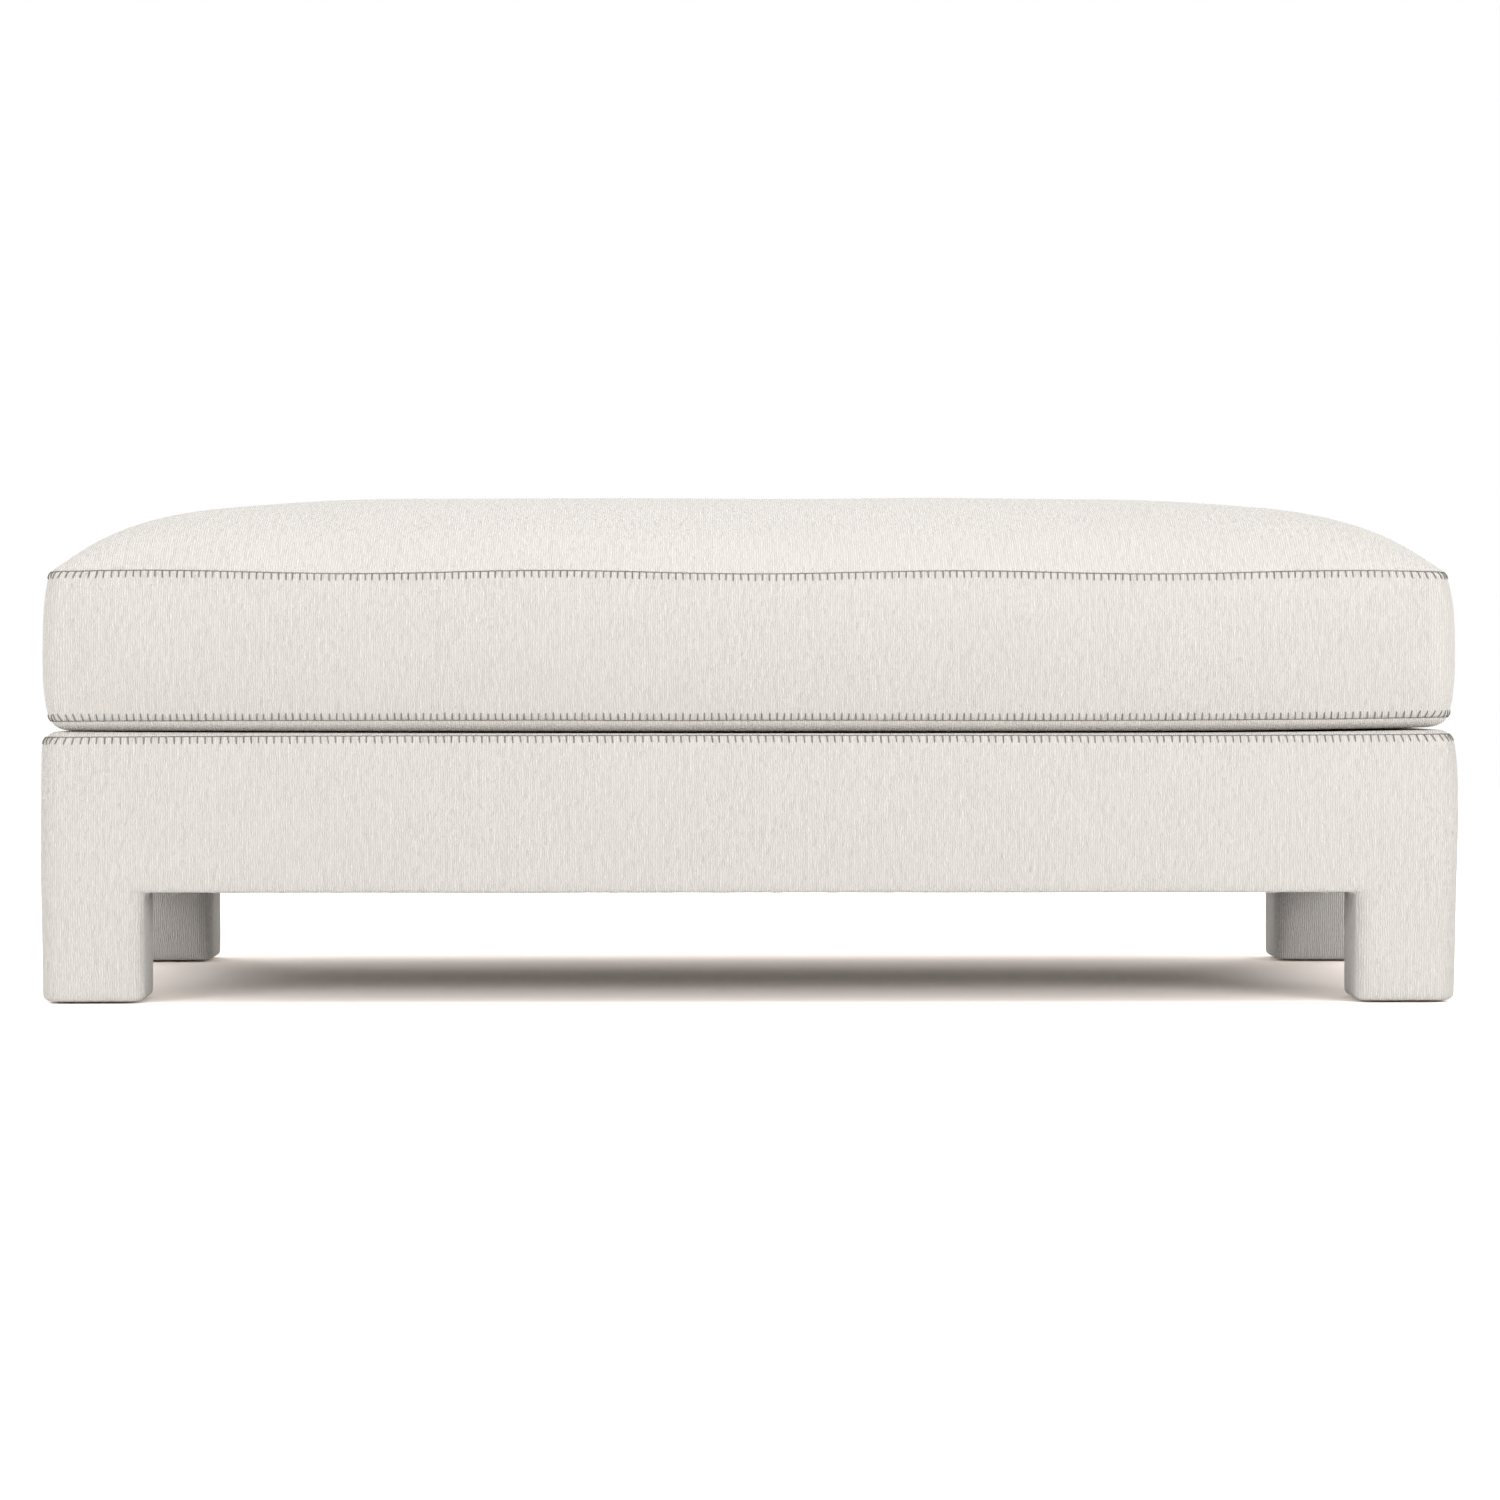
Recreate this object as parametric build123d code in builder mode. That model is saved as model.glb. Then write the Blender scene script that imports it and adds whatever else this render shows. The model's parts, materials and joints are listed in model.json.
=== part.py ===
from build123d import *
import math
import os

os.makedirs("parts", exist_ok=True)

# Lengths are in millimetres. X runs along the table, Y from front to back, Z up from the floor.
# The origin is on the floor under the middle of the table.

# The upholstered base
width = 1420.0
depth = 710.0
base_height = 272.0
apron_bottom = 110.0
leg_size = 100.0
corner_radius = 17.0
top_roll_radius = 15.0
leg_edge_radius = 6.0
foot_edge_radius = 3.5
base_seam_drop = 4.0
lip_width = 90.0

# The loose cushion
cushion_end_margin = 3.0
cushion_side_margin = 4.0
cushion_corner_radius = 34.0
boxing_height = 150.0
boxing_bulge = 8.0
crown_height = 88.0
underside_height = 9.0
underside_inset = 10.0

# Layers and the clearance between them
cover = 2.0
gap = 0.3
outer_pad = 12.0
inner_pad = 6.0
overrun = 5.0

# Wooden frame
rail_thickness = 30.0
deck_depth = 29.7
notch = 20.0
block_thickness = 35.0
block_height = 60.0
block_above_middle = 3.0
cross_rail_thickness = 30.0
cross_rail_height = 60.0
cross_rail_below_middle = 5.0
cross_rail_spacing = 460.0

# Fasteners
dowel_radius = 5.0
dowel_length = 50.0
dowel_spacing = 70.0
fit_play = 0.15
bolt_radius = 4.0
bolt_bite = 50.0
bolt_end = 4.0
washer_radius = 11.0
washer_thickness = 2.0
nut_flats = 13.0
nut_height = 6.5
screw_radius = 2.25
screw_head_radius = 4.5
screw_head_height = 3.0
screw_tip = 4.0
corner_screw_length = 46.0
corner_screw_seat = 24.0
corner_screw_inset = 13.2
cross_screw_length = 65.0
cross_screw_spacing = 30.0

# Foot glides
glide_radius = 15.0
glide_thickness = 2.0
glide_edge = 0.6
glide_nail_radius = 1.5
glide_nail_length = 25.0

# Springs
spring_count = 11
spring_turn_radius = 12.5
spring_half_run = 12.0
spring_wire_radius = 1.9
spring_end_inset = 16.0
clip_width = 16.0
clip_thickness = 1.0
clip_play = 0.1
clip_flap = 9.0
clip_foot = 18.0
clip_nail_radius = 1.2
clip_nail_head_radius = 3.0
clip_nail_head = 1.0
clip_nail_length = 19.0
clip_nail_inset = 4.0
tie_wire_radius = 1.3
tie_wire_spacing = 225.0
tie_wire_end = 8.0

# Deck and under-cloth
edge_roll_width = 20.0
felt_thickness = 2.5
dust_cover_thickness = 0.8
dust_cover_inset = 12.0
dust_cover_leg_gap = 2.0

# Stitching
thread_radius = 0.6

# Zip in the back boxing, as long as the table less a margin at each end
zip_end_margin = 70.0
zip_run_out = 20.0
zip_slot = 6.0
tape_width = 12.0
tape_thickness = 0.8
tape_end = 2.0
chain_split = 1.2
chain_thickness = 3.0
chain_recess = 0.4
stop_length = 3.0
stop_height = 1.4
slider_length = 10.0
slider_height = 8.0
slider_plate = 1.0
web_length = 4.0
web_thickness = 0.6
lug_length = 1.8
lug_thickness = 1.0
pin_radius = 0.4
eye_play = 0.25
eye_radius = 1.1
eye_lift = 0.2
eye_width = 3.4
pull_length = 24.0
pull_width = 5.6
pull_neck = 3.0
pull_thickness = 0.9
pull_corner_radius = 1.5

# Shapes of the soft forms, as shares of their own sizes
boxing_height_shares = (0.0, 0.1, 0.28, 0.5, 0.72, 0.9, 1.0)
boxing_roundness = 3
crown_inset_shares = (0.0, 0.035, 0.08, 0.14, 0.22, 0.335, 0.495, 0.69, 0.84, 0.94)
crown_rise_shares = (0.0, 0.16, 0.34, 0.52, 0.68, 0.805, 0.895, 0.965, 0.994, 1.0)
crown_corner_shares = (0.0, 0.03, 0.08, 0.15, 0.25, 0.42, 0.70, 0.90, 0.97, 1.0)
crown_round_share = 0.96
underside_inset_shares = (0.0, 0.5, 1.0)
underside_drop_shares = (0.0, 0.6, 1.0)

# Places worked out from the sizes above
skin = cover + gap + outer_pad
foot_bottom = glide_thickness + gap
post_size = leg_size - skin - (cover + gap + inner_pad)
post_x = width / 2 - skin - post_size / 2
post_y = depth / 2 - skin - post_size / 2
post_bottom = foot_bottom + cover + gap
rail_bottom = apron_bottom + cover + gap
rail_top = base_height - deck_depth
rail_height = rail_top - rail_bottom
rail_middle = rail_bottom + rail_height / 2
deck_underside = base_height - cover - gap
wood_x = width / 2 - skin
wood_y = depth / 2 - skin
clear_x = wood_x - rail_thickness
clear_y = wood_y - rail_thickness
long_rail_length = 2 * wood_x - 2 * post_size
short_rail_length = 2 * wood_y - 2 * post_size
base_seam_z = base_height - base_seam_drop

spring_z = rail_top + clip_thickness + clip_play + spring_wire_radius
tie_wire_z = spring_z + spring_wire_radius + gap + tie_wire_radius
felt_bottom = tie_wire_z + tie_wire_radius + gap
felt_top = felt_bottom + felt_thickness

cushion_bottom = base_height + gap
low_seam_z = cushion_bottom + underside_height
top_seam_z = low_seam_z + boxing_height
bulge_x = width / 2 - cushion_end_margin
bulge_y = depth / 2 - cushion_side_margin
seam_x = bulge_x - boxing_bulge
seam_y = bulge_y - boxing_bulge
seam_radius = cushion_corner_radius - boxing_bulge

zip_strip_length = width - 2 * zip_end_margin
zip_travel = zip_strip_length - 2 * zip_run_out

corners = {
    "front_left": (-1, -1),
    "front_right": (1, -1),
    "back_left": (-1, 1),
    "back_right": (1, 1),
}


def rod(start, direction, radius, length):
    """A round rod from start along direction."""
    with BuildPart(mode=Mode.PRIVATE) as piece:
        with BuildSketch(Plane(origin=start, z_dir=direction)):
            Circle(radius)
        extrude(amount=length)
    return piece.part


def turned(start, direction, outline):
    """A turned piece: outline is a list of (distance along direction, radius) from start."""
    across = (1, 0, 0) if direction[2] else (0, 0, 1)
    with BuildPart(mode=Mode.PRIVATE) as piece:
        with BuildSketch(Plane(origin=start, x_dir=direction, z_dir=across)):
            with BuildLine():
                Polyline((0, 0), *outline, (outline[-1][0], 0), close=True)
            make_face()
        revolve(axis=Axis(start, direction))
    return piece.part


def block(low, high):
    """A plain block between two corners."""
    with BuildPart(mode=Mode.PRIVATE) as piece:
        with BuildSketch(Plane.XY.offset(low[2])):
            with Locations(((low[0] + high[0]) / 2, (low[1] + high[1]) / 2)):
                Rectangle(high[0] - low[0], high[1] - low[1])
        extrude(amount=high[2] - low[2])
    return piece.part


def wood_screw(start, direction, length, play):
    """A countersunk screw, or with play the hole that it turns into."""
    outline = [
        (0, screw_head_radius + play),
        (screw_head_height, screw_radius + play),
        (length - screw_tip, screw_radius + play),
        (length + play, fit_play),
    ]
    return turned(start, direction, outline)


def soft_block(stations):
    """A smooth solid through rounded rectangles of (half x, half y, corner radius, height)."""
    with BuildPart(mode=Mode.PRIVATE) as piece:
        for half_x, half_y, radius, height in stations:
            with BuildSketch(Plane.XY.offset(height)):
                RectangleRounded(2 * half_x, 2 * half_y, radius)
        loft()
    return piece.part


def boxing_inset(share):
    """How far the boxing is drawn in from its bulge, at a share of its height."""
    return boxing_bulge * abs(2 * share - 1) ** boxing_roundness


def boxing_form(sunk):
    """The boxing's bulged form between its two seams, sunk evenly into itself."""
    stations = []
    for share in boxing_height_shares:
        inset = boxing_inset(share) + sunk
        height = low_seam_z + share * boxing_height
        stations.append((bulge_x - inset, bulge_y - inset, cushion_corner_radius - inset, height))
    return soft_block(stations)


def sink_profile(profile, sunk):
    """Moves (inset, height) points into the solid, square to the profile.

    The first point is the seam, which keeps its height. The last is the edge of the flat.
    """
    moved = []
    last = len(profile) - 1
    for i, (inset, height) in enumerate(profile):
        before = profile[max(i - 1, 0)]
        after = profile[min(i + 1, last)]
        run = after[0] - before[0]
        rise = after[1] - before[1]
        slope = math.hypot(run, rise)
        up = math.copysign(1, rise)
        if i == 0:
            moved.append((inset + sunk * slope / abs(rise), height))
        elif i == last:
            moved.append((inset + sunk * abs(rise) / slope, height - sunk * up))
        else:
            moved.append((inset + sunk * abs(rise) / slope, height - sunk * up * run / slope))
    return moved


def crown_form(sunk):
    """The crown above the top seam, sunk evenly into itself."""
    profile = []
    radii = []
    for inset_share, rise_share, corner_share in zip(
        crown_inset_shares, crown_rise_shares, crown_corner_shares
    ):
        inset = inset_share * seam_y
        roundest = crown_round_share * (seam_y - inset)
        profile.append((inset, top_seam_z + rise_share * crown_height))
        radii.append(seam_radius + corner_share * (roundest - seam_radius))
    stations = []
    for (inset, height), (at, _), radius in zip(sink_profile(profile, sunk), profile, radii):
        stations.append((seam_x - inset, seam_y - inset, radius - (inset - at), height))
    return soft_block(stations)


def underside_form(sunk):
    """The shallow drawn-in form below the low seam, sunk evenly into itself."""
    profile = []
    for inset_share, drop_share in zip(underside_inset_shares, underside_drop_shares):
        inset = inset_share * underside_inset
        profile.append((inset, low_seam_z - drop_share * underside_height))
    stations = []
    for inset, height in sink_profile(profile, sunk):
        stations.append((seam_x - inset, seam_y - inset, seam_radius - inset, height))
    return soft_block(stations[::-1])


def base_form(sunk):
    """The upholstered base and its four legs, sunk evenly into itself."""
    half_x = width / 2 - leg_size + sunk
    half_y = depth / 2 - leg_size + sunk
    with BuildPart(mode=Mode.PRIVATE) as piece:
        with BuildSketch(Plane.XY.offset(apron_bottom + sunk)):
            RectangleRounded(width - 2 * sunk, depth - 2 * sunk, corner_radius - sunk)
        extrude(amount=base_height - apron_bottom - 2 * sunk)
        fillet(piece.faces().sort_by(Axis.Z)[-1].edges(), top_roll_radius - sunk)
        with BuildSketch(Plane.XY.offset(foot_bottom + sunk)) as feet:
            RectangleRounded(width - 2 * sunk, depth - 2 * sunk, corner_radius - sunk)
            Rectangle(width, 2 * half_y, mode=Mode.SUBTRACT)
            Rectangle(2 * half_x, depth, mode=Mode.SUBTRACT)
            inner = feet.vertices().filter_by(
                lambda v: abs(v.X) < half_x + gap or abs(v.Y) < half_y + gap
            )
            fillet(inner, leg_edge_radius - sunk)
        extrude(amount=apron_bottom - foot_bottom)
        fillet(piece.faces().group_by(Axis.Z)[0].edges(), foot_edge_radius - sunk)
    return piece.part


def corner_place(side_x, side_y, u, v, height):
    """A point u and v inwards from where the inner faces of two rails would meet."""
    return (side_x * (clear_x - u), side_y * (clear_y - v), height)


# Dowels between rails and posts
dowels = []
dowel_holes = []
for side_x, side_y in corners.values():
    for height in (rail_middle - dowel_spacing / 2, rail_middle + dowel_spacing / 2):
        along_x = (side_x * (long_rail_length - dowel_length) / 2, side_y * (wood_y - rail_thickness / 2))
        along_y = (side_x * (wood_x - rail_thickness / 2), side_y * (short_rail_length - dowel_length) / 2)
        for place, direction in ((along_x, (side_x, 0, 0)), (along_y, (0, side_y, 0))):
            dowels.append(rod((*place, height), direction, dowel_radius, dowel_length))
            hole_start = (
                place[0] - direction[0] * fit_play,
                place[1] - direction[1] * fit_play,
                height,
            )
            hole_length = dowel_length + 2 * fit_play
            dowel_holes.append(rod(hole_start, direction, dowel_radius + fit_play, hole_length))

# Corner bolts run along the diagonal of each corner, through the block and into the post
block_middle = rail_middle + block_above_middle
block_bottom = block_middle - block_height / 2
block_outer = 2 * (post_size - rail_thickness) - notch
block_inner = block_outer + block_thickness * math.sqrt(2)
bolts = []
bolt_holes = []
washers = []
nuts = []
for side_x, side_y in corners.values():
    inwards = (-side_x / math.sqrt(2), -side_y / math.sqrt(2), 0)

    def on_diagonal(distance):
        step = distance / math.sqrt(2)
        return corner_place(side_x, side_y, step, step, block_middle)

    notch_face = block_outer / math.sqrt(2)
    block_face = block_inner / math.sqrt(2)
    bolt_length = bolt_bite + block_thickness + washer_thickness + nut_height + bolt_end
    bolts.append(rod(on_diagonal(notch_face - bolt_bite), inwards, bolt_radius, bolt_length))
    bolt_holes.append(
        rod(
            on_diagonal(notch_face - bolt_bite - fit_play),
            inwards,
            bolt_radius + fit_play,
            bolt_length + overrun,
        )
    )
    with BuildPart() as washer:
        with BuildSketch(Plane(origin=on_diagonal(block_face), z_dir=inwards)):
            Circle(washer_radius)
            Circle(bolt_radius + fit_play, mode=Mode.SUBTRACT)
        extrude(amount=washer_thickness)
    washers.append(washer.part)
    with BuildPart() as nut:
        with BuildSketch(Plane(origin=on_diagonal(block_face + washer_thickness), z_dir=inwards)):
            RegularPolygon(nut_flats / 2, 6, major_radius=False)
            Circle(bolt_radius + fit_play, mode=Mode.SUBTRACT)
        extrude(amount=nut_height)
    nuts.append(nut.part)

# Screws through the ends of the corner blocks into the rails
corner_screws = []
screw_holes = []
corner_screw_place = block_outer + corner_screw_inset
for side_x, side_y in corners.values():
    into_long = corner_place(side_x, side_y, corner_screw_place, corner_screw_seat, block_middle)
    into_short = corner_place(side_x, side_y, corner_screw_seat, corner_screw_place, block_middle)
    for start, direction in ((into_long, (0, side_y, 0)), (into_short, (side_x, 0, 0))):
        back = (-direction[0], -direction[1], 0)
        corner_screws.append(wood_screw(start, direction, corner_screw_length, 0))
        screw_holes.append(wood_screw(start, direction, corner_screw_length, fit_play))
        screw_holes.append(rod(start, back, screw_head_radius + fit_play, block_thickness))

# Screws through the long rails into the ends of the cross rails
cross_screws = []
cross_rail_middle = rail_middle - cross_rail_below_middle
cross_rail_bottom = cross_rail_middle - cross_rail_height / 2
for side_x, side_y in corners.values():
    for offset in (-cross_screw_spacing / 2, cross_screw_spacing / 2):
        start = (side_x * cross_rail_spacing / 2, side_y * wood_y, cross_rail_middle + offset)
        cross_screws.append(wood_screw(start, (0, -side_y, 0), cross_screw_length, 0))
        screw_holes.append(wood_screw(start, (0, -side_y, 0), cross_screw_length, fit_play))

# Foot glides with their nails
glides = []
nail_holes = []
for side_x, side_y in corners.values():
    start = (side_x * post_x, side_y * post_y, 0)
    glides.append(
        turned(
            start,
            (0, 0, 1),
            [
                (0, glide_radius - glide_edge),
                (glide_edge, glide_radius),
                (glide_thickness, glide_radius),
                (glide_thickness, glide_nail_radius),
                (glide_nail_length, glide_nail_radius),
            ],
        )
    )
    nail_holes.append(
        rod(start, (0, 0, 1), glide_nail_radius + fit_play, glide_nail_length + fit_play)
    )

# Springs, clips and clip nails, which stand on the long rails
spring_reach = wood_y - spring_end_inset
spring_gaps = 2 * round(spring_reach / (2 * spring_turn_radius))
spring_step = 2 * spring_reach / spring_gaps
turn_radius = spring_step / 2
spring_pitch = 2 * clear_x / spring_count
spring_places = [(i - (spring_count - 1) / 2) * spring_pitch for i in range(spring_count)]
clip_back = spring_reach + spring_wire_radius + clip_play + clip_thickness
clip_top = spring_z + spring_wire_radius + clip_play + clip_thickness
clip_nails = []
for place in spring_places:
    for side_y in (-1, 1):
        start = (place, side_y * (clear_y + clip_nail_inset), rail_top + clip_thickness + clip_nail_head)
        clip_nails.append(
            turned(
                start,
                (0, 0, -1),
                [
                    (0, clip_nail_head_radius),
                    (clip_nail_head, clip_nail_head_radius),
                    (clip_nail_head, clip_nail_radius),
                    (clip_nail_length, clip_nail_radius),
                ],
            )
        )
        nail_holes.append(
            rod(start, (0, 0, -1), clip_nail_radius + fit_play, clip_nail_length + fit_play)
        )

wood_holes = dowel_holes + bolt_holes + screw_holes + nail_holes

# Wooden posts, one inside each leg, notched for the corner blocks
for corner, (side_x, side_y) in corners.items():
    inner_x = side_x * (post_x - post_size / 2)
    inner_y = side_y * (post_y - post_size / 2)
    with BuildPart() as post:
        with BuildSketch(Plane.XY.offset(post_bottom)):
            with Locations((side_x * post_x, side_y * post_y)):
                Rectangle(post_size, post_size)
        extrude(amount=rail_top - post_bottom)
        with BuildSketch(Plane.XY.offset(block_bottom)):
            with BuildLine():
                Polyline(
                    (inner_x, inner_y),
                    (inner_x + side_x * notch, inner_y),
                    (inner_x, inner_y + side_y * notch),
                    close=True,
                )
            make_face()
        extrude(amount=rail_top - block_bottom, mode=Mode.SUBTRACT)
        add(wood_holes, mode=Mode.SUBTRACT)
    post.part.label = f"{corner}_post"
    export_step(post.part, f"parts/{corner}_post.step")

# Rails between the posts
long_rail_y = wood_y - rail_thickness / 2
short_rail_x = wood_x - rail_thickness / 2
rails = {
    "front_rail": ((0, -long_rail_y), (long_rail_length, rail_thickness)),
    "back_rail": ((0, long_rail_y), (long_rail_length, rail_thickness)),
    "left_rail": ((-short_rail_x, 0), (rail_thickness, short_rail_length)),
    "right_rail": ((short_rail_x, 0), (rail_thickness, short_rail_length)),
}
for name, (centre, size) in rails.items():
    with BuildPart() as rail:
        with BuildSketch(Plane.XY.offset(rail_bottom)):
            with Locations(centre):
                Rectangle(*size)
        extrude(amount=rail_height)
        add(wood_holes, mode=Mode.SUBTRACT)
    rail.part.label = name
    export_step(rail.part, f"parts/{name}.step")

# Corner blocks across the inside of each corner
for corner, (side_x, side_y) in corners.items():
    outline = [(block_outer, 0), (block_inner, 0), (0, block_inner), (0, block_outer)]
    points = [corner_place(side_x, side_y, u, v, 0)[:2] for u, v in outline]
    with BuildPart() as corner_block:
        with BuildSketch(Plane.XY.offset(block_bottom)):
            with BuildLine():
                Polyline(*points, close=True)
            make_face()
        extrude(amount=block_height)
        add(bolt_holes + screw_holes, mode=Mode.SUBTRACT)
    corner_block.part.label = f"{corner}_corner_block"
    export_step(corner_block.part, f"parts/{corner}_corner_block.step")

# Cross rails from front to back
for name, side_x in (("left_cross_rail", -1), ("right_cross_rail", 1)):
    with BuildPart() as cross_rail:
        with BuildSketch(Plane.XY.offset(cross_rail_bottom)):
            with Locations((side_x * cross_rail_spacing / 2, 0)):
                Rectangle(cross_rail_thickness, 2 * clear_y)
        extrude(amount=cross_rail_height)
        add(screw_holes, mode=Mode.SUBTRACT)
    cross_rail.part.label = name
    export_step(cross_rail.part, f"parts/{name}.step")

# Fasteners and glides, each kind a group of like solids
groups = {
    "rail_dowels": dowels,
    "hanger_bolts": bolts,
    "hanger_bolt_washers": washers,
    "hanger_bolt_nuts": nuts,
    "corner_block_screws": corner_screws,
    "cross_rail_screws": cross_screws,
    "foot_glides": glides,
    "clip_nails": clip_nails,
}
for name, pieces in groups.items():
    with BuildPart() as group:
        add(pieces)
    group.part.label = name
    export_step(group.part, f"parts/{name}.step")

# Sinuous springs: straight runs across, joined by half turns
with BuildPart() as one_spring:
    with BuildLine() as zigzag:
        for i in range(spring_gaps + 1):
            side = 1 if i % 2 == 0 else -1
            along = -spring_reach + i * spring_step
            Line((-side * spring_half_run, along, spring_z), (side * spring_half_run, along, spring_z))
            if i < spring_gaps:
                ThreePointArc(
                    (side * spring_half_run, along, spring_z),
                    (side * (spring_half_run + turn_radius), along + turn_radius, spring_z),
                    (side * spring_half_run, along + spring_step, spring_z),
                )
    with BuildSketch(Plane(origin=zigzag.line @ 0, z_dir=(1, 0, 0))):
        Circle(spring_wire_radius)
    sweep(path=zigzag.line)
with BuildPart() as sinuous_springs:
    with Locations([(place, 0) for place in spring_places]):
        add(one_spring.part)
sinuous_springs.part.label = "sinuous_springs"
export_step(sinuous_springs.part, "parts/sinuous_springs.step")

# Clips that hold the springs' ends on the long rails
with BuildPart() as spring_clips:
    for side_y in (-1, 1):
        outline = [
            (clip_back, rail_top),
            (clip_back, clip_top),
            (clip_back - clip_flap, clip_top),
            (clip_back - clip_flap, clip_top - clip_thickness),
            (clip_back - clip_thickness, clip_top - clip_thickness),
            (clip_back - clip_thickness, rail_top + clip_thickness),
            (clip_back - clip_foot, rail_top + clip_thickness),
            (clip_back - clip_foot, rail_top),
        ]
        for place in spring_places:
            with BuildSketch(Plane.YZ.offset(place)):
                with BuildLine():
                    Polyline(*[(side_y * y, z) for y, z in outline], close=True)
                make_face()
            extrude(amount=clip_width / 2, both=True)
    add(nail_holes, mode=Mode.SUBTRACT)
spring_clips.part.label = "spring_clips"
export_step(spring_clips.part, "parts/spring_clips.step")

# Tie wires across the springs
tie_wire_half = spring_places[-1] + spring_half_run + turn_radius + tie_wire_end
with BuildPart() as spring_tie_wires:
    with BuildSketch(Plane.YZ.offset(-tie_wire_half)):
        with Locations((-tie_wire_spacing / 2, tie_wire_z), (tie_wire_spacing / 2, tie_wire_z)):
            Circle(tie_wire_radius)
    extrude(amount=2 * tie_wire_half)
spring_tie_wires.part.label = "spring_tie_wires"
export_step(spring_tie_wires.part, "parts/spring_tie_wires.step")

# Felt and foam of the deck, inside the edge rolls
deck_inset = cover + gap + edge_roll_width + gap
deck_size = (width - 2 * deck_inset, depth - 2 * deck_inset)
with BuildPart() as insulator_felt:
    with BuildSketch(Plane.XY.offset(felt_bottom)):
        Rectangle(*deck_size)
    extrude(amount=felt_thickness)
insulator_felt.part.label = "insulator_felt"
export_step(insulator_felt.part, "parts/insulator_felt.step")

with BuildPart() as deck_foam:
    with BuildSketch(Plane.XY.offset(felt_top)):
        Rectangle(*deck_size)
    extrude(amount=deck_underside - felt_top)
deck_foam.part.label = "deck_foam"
export_step(deck_foam.part, "parts/deck_foam.step")

# Padding: everything between the cover and the wood
padding = base_form(cover + gap)
roll_half_x = width / 2 - cover - gap - edge_roll_width
roll_half_y = depth / 2 - cover - gap - edge_roll_width
sides = {"front": (0, -1), "back": (0, 1), "left": (-1, 0), "right": (1, 0)}

# Edge rolls run round the top of the rails and meet in mitres
for name, (side_x, side_y) in sides.items():
    reach = width / 2 + depth / 2
    mitre_x = width / 2 - depth / 2
    if side_y:
        wedge = [
            (-mitre_x, 0),
            (mitre_x, 0),
            (mitre_x + reach, side_y * reach),
            (-mitre_x - reach, side_y * reach),
        ]
    else:
        wedge = [
            (side_x * mitre_x, 0),
            (side_x * (mitre_x + reach), reach),
            (side_x * (mitre_x + reach), -reach),
        ]
    with BuildPart() as edge_roll:
        with BuildSketch(Plane.XY.offset(rail_top)):
            with BuildLine():
                Polyline(*wedge, close=True)
            make_face()
            Rectangle(2 * roll_half_x, 2 * roll_half_y, mode=Mode.SUBTRACT)
        extrude(amount=base_height - rail_top)
        add(padding, mode=Mode.INTERSECT)
    edge_roll.part.label = f"{name}_edge_roll"
    export_step(edge_roll.part, f"parts/{name}_edge_roll.step")

# Apron pads on the outside of the rails; the front and back ones turn the corners
for name, (side_x, side_y) in sides.items():
    with BuildPart() as apron_pad:
        with BuildSketch(Plane.XY.offset(rail_bottom)):
            if side_y:
                with Locations((0, side_y * (wood_y + outer_pad / 2))):
                    Rectangle(width, outer_pad)
            else:
                with Locations((side_x * (wood_x + outer_pad / 2), 0)):
                    Rectangle(outer_pad, 2 * wood_y)
        extrude(amount=rail_height)
        add(padding, mode=Mode.INTERSECT)
    apron_pad.part.label = f"{name}_apron_pad"
    export_step(apron_pad.part, f"parts/{name}_apron_pad.step")

# Leg pads wrap each post below the rails
for corner, (side_x, side_y) in corners.items():
    with BuildPart() as leg_pad:
        with BuildSketch(Plane.XY.offset(post_bottom)):
            with Locations((side_x * (width - leg_size) / 2, side_y * (depth - leg_size) / 2)):
                Rectangle(leg_size, leg_size)
            with Locations((side_x * post_x, side_y * post_y)):
                Rectangle(post_size, post_size, mode=Mode.SUBTRACT)
        extrude(amount=rail_bottom - post_bottom)
        add(padding, mode=Mode.INTERSECT)
    leg_pad.part.label = f"{corner}_leg_pad"
    export_step(leg_pad.part, f"parts/{corner}_leg_pad.step")

# The cover cloth of the base, cut below into a wrap and a back panel, above into a lip and a deck cloth
base_outer = base_form(0)
base_inner = base_form(cover)
above_seam = block((-width, -depth, base_seam_z), (width, depth, base_height + overrun))
below_seam = block((-width, -depth, 0), (width, depth, base_seam_z))
deck_half_x = width / 2 - lip_width
deck_half_y = depth / 2 - lip_width
deck_cut = block((-deck_half_x, -deck_half_y, base_seam_z), (deck_half_x, deck_half_y, base_height + overrun))
back_half = width / 2 - leg_size
back_cut = block((-back_half, depth / 2 - leg_size, apron_bottom), (back_half, depth, base_height))
strip_cut = block((-clear_x, -clear_y, apron_bottom - gap), (clear_x, clear_y, rail_bottom))

with BuildPart() as base_cover:
    add(base_outer)
    add(base_inner, mode=Mode.SUBTRACT)
    add(strip_cut, mode=Mode.SUBTRACT)

with BuildPart() as base_wrap:
    add(base_cover.part)
    add(above_seam, mode=Mode.SUBTRACT)
    add(back_cut, mode=Mode.SUBTRACT)
    add(nail_holes, mode=Mode.SUBTRACT)
base_wrap.part.label = "base_wrap"
export_step(base_wrap.part, "parts/base_wrap.step")

with BuildPart() as base_back_panel:
    add(base_cover.part)
    add(above_seam, mode=Mode.SUBTRACT)
    add(back_cut, mode=Mode.INTERSECT)
base_back_panel.part.label = "base_back_panel"
export_step(base_back_panel.part, "parts/base_back_panel.step")

with BuildPart() as base_lip_band:
    add(base_cover.part)
    add(below_seam, mode=Mode.SUBTRACT)
    add(deck_cut, mode=Mode.SUBTRACT)
base_lip_band.part.label = "base_lip_band"
export_step(base_lip_band.part, "parts/base_lip_band.step")

with BuildPart() as deck_cloth:
    add(base_cover.part)
    add(deck_cut, mode=Mode.INTERSECT)
deck_cloth.part.label = "deck_cloth"
export_step(deck_cloth.part, "parts/deck_cloth.step")

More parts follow.
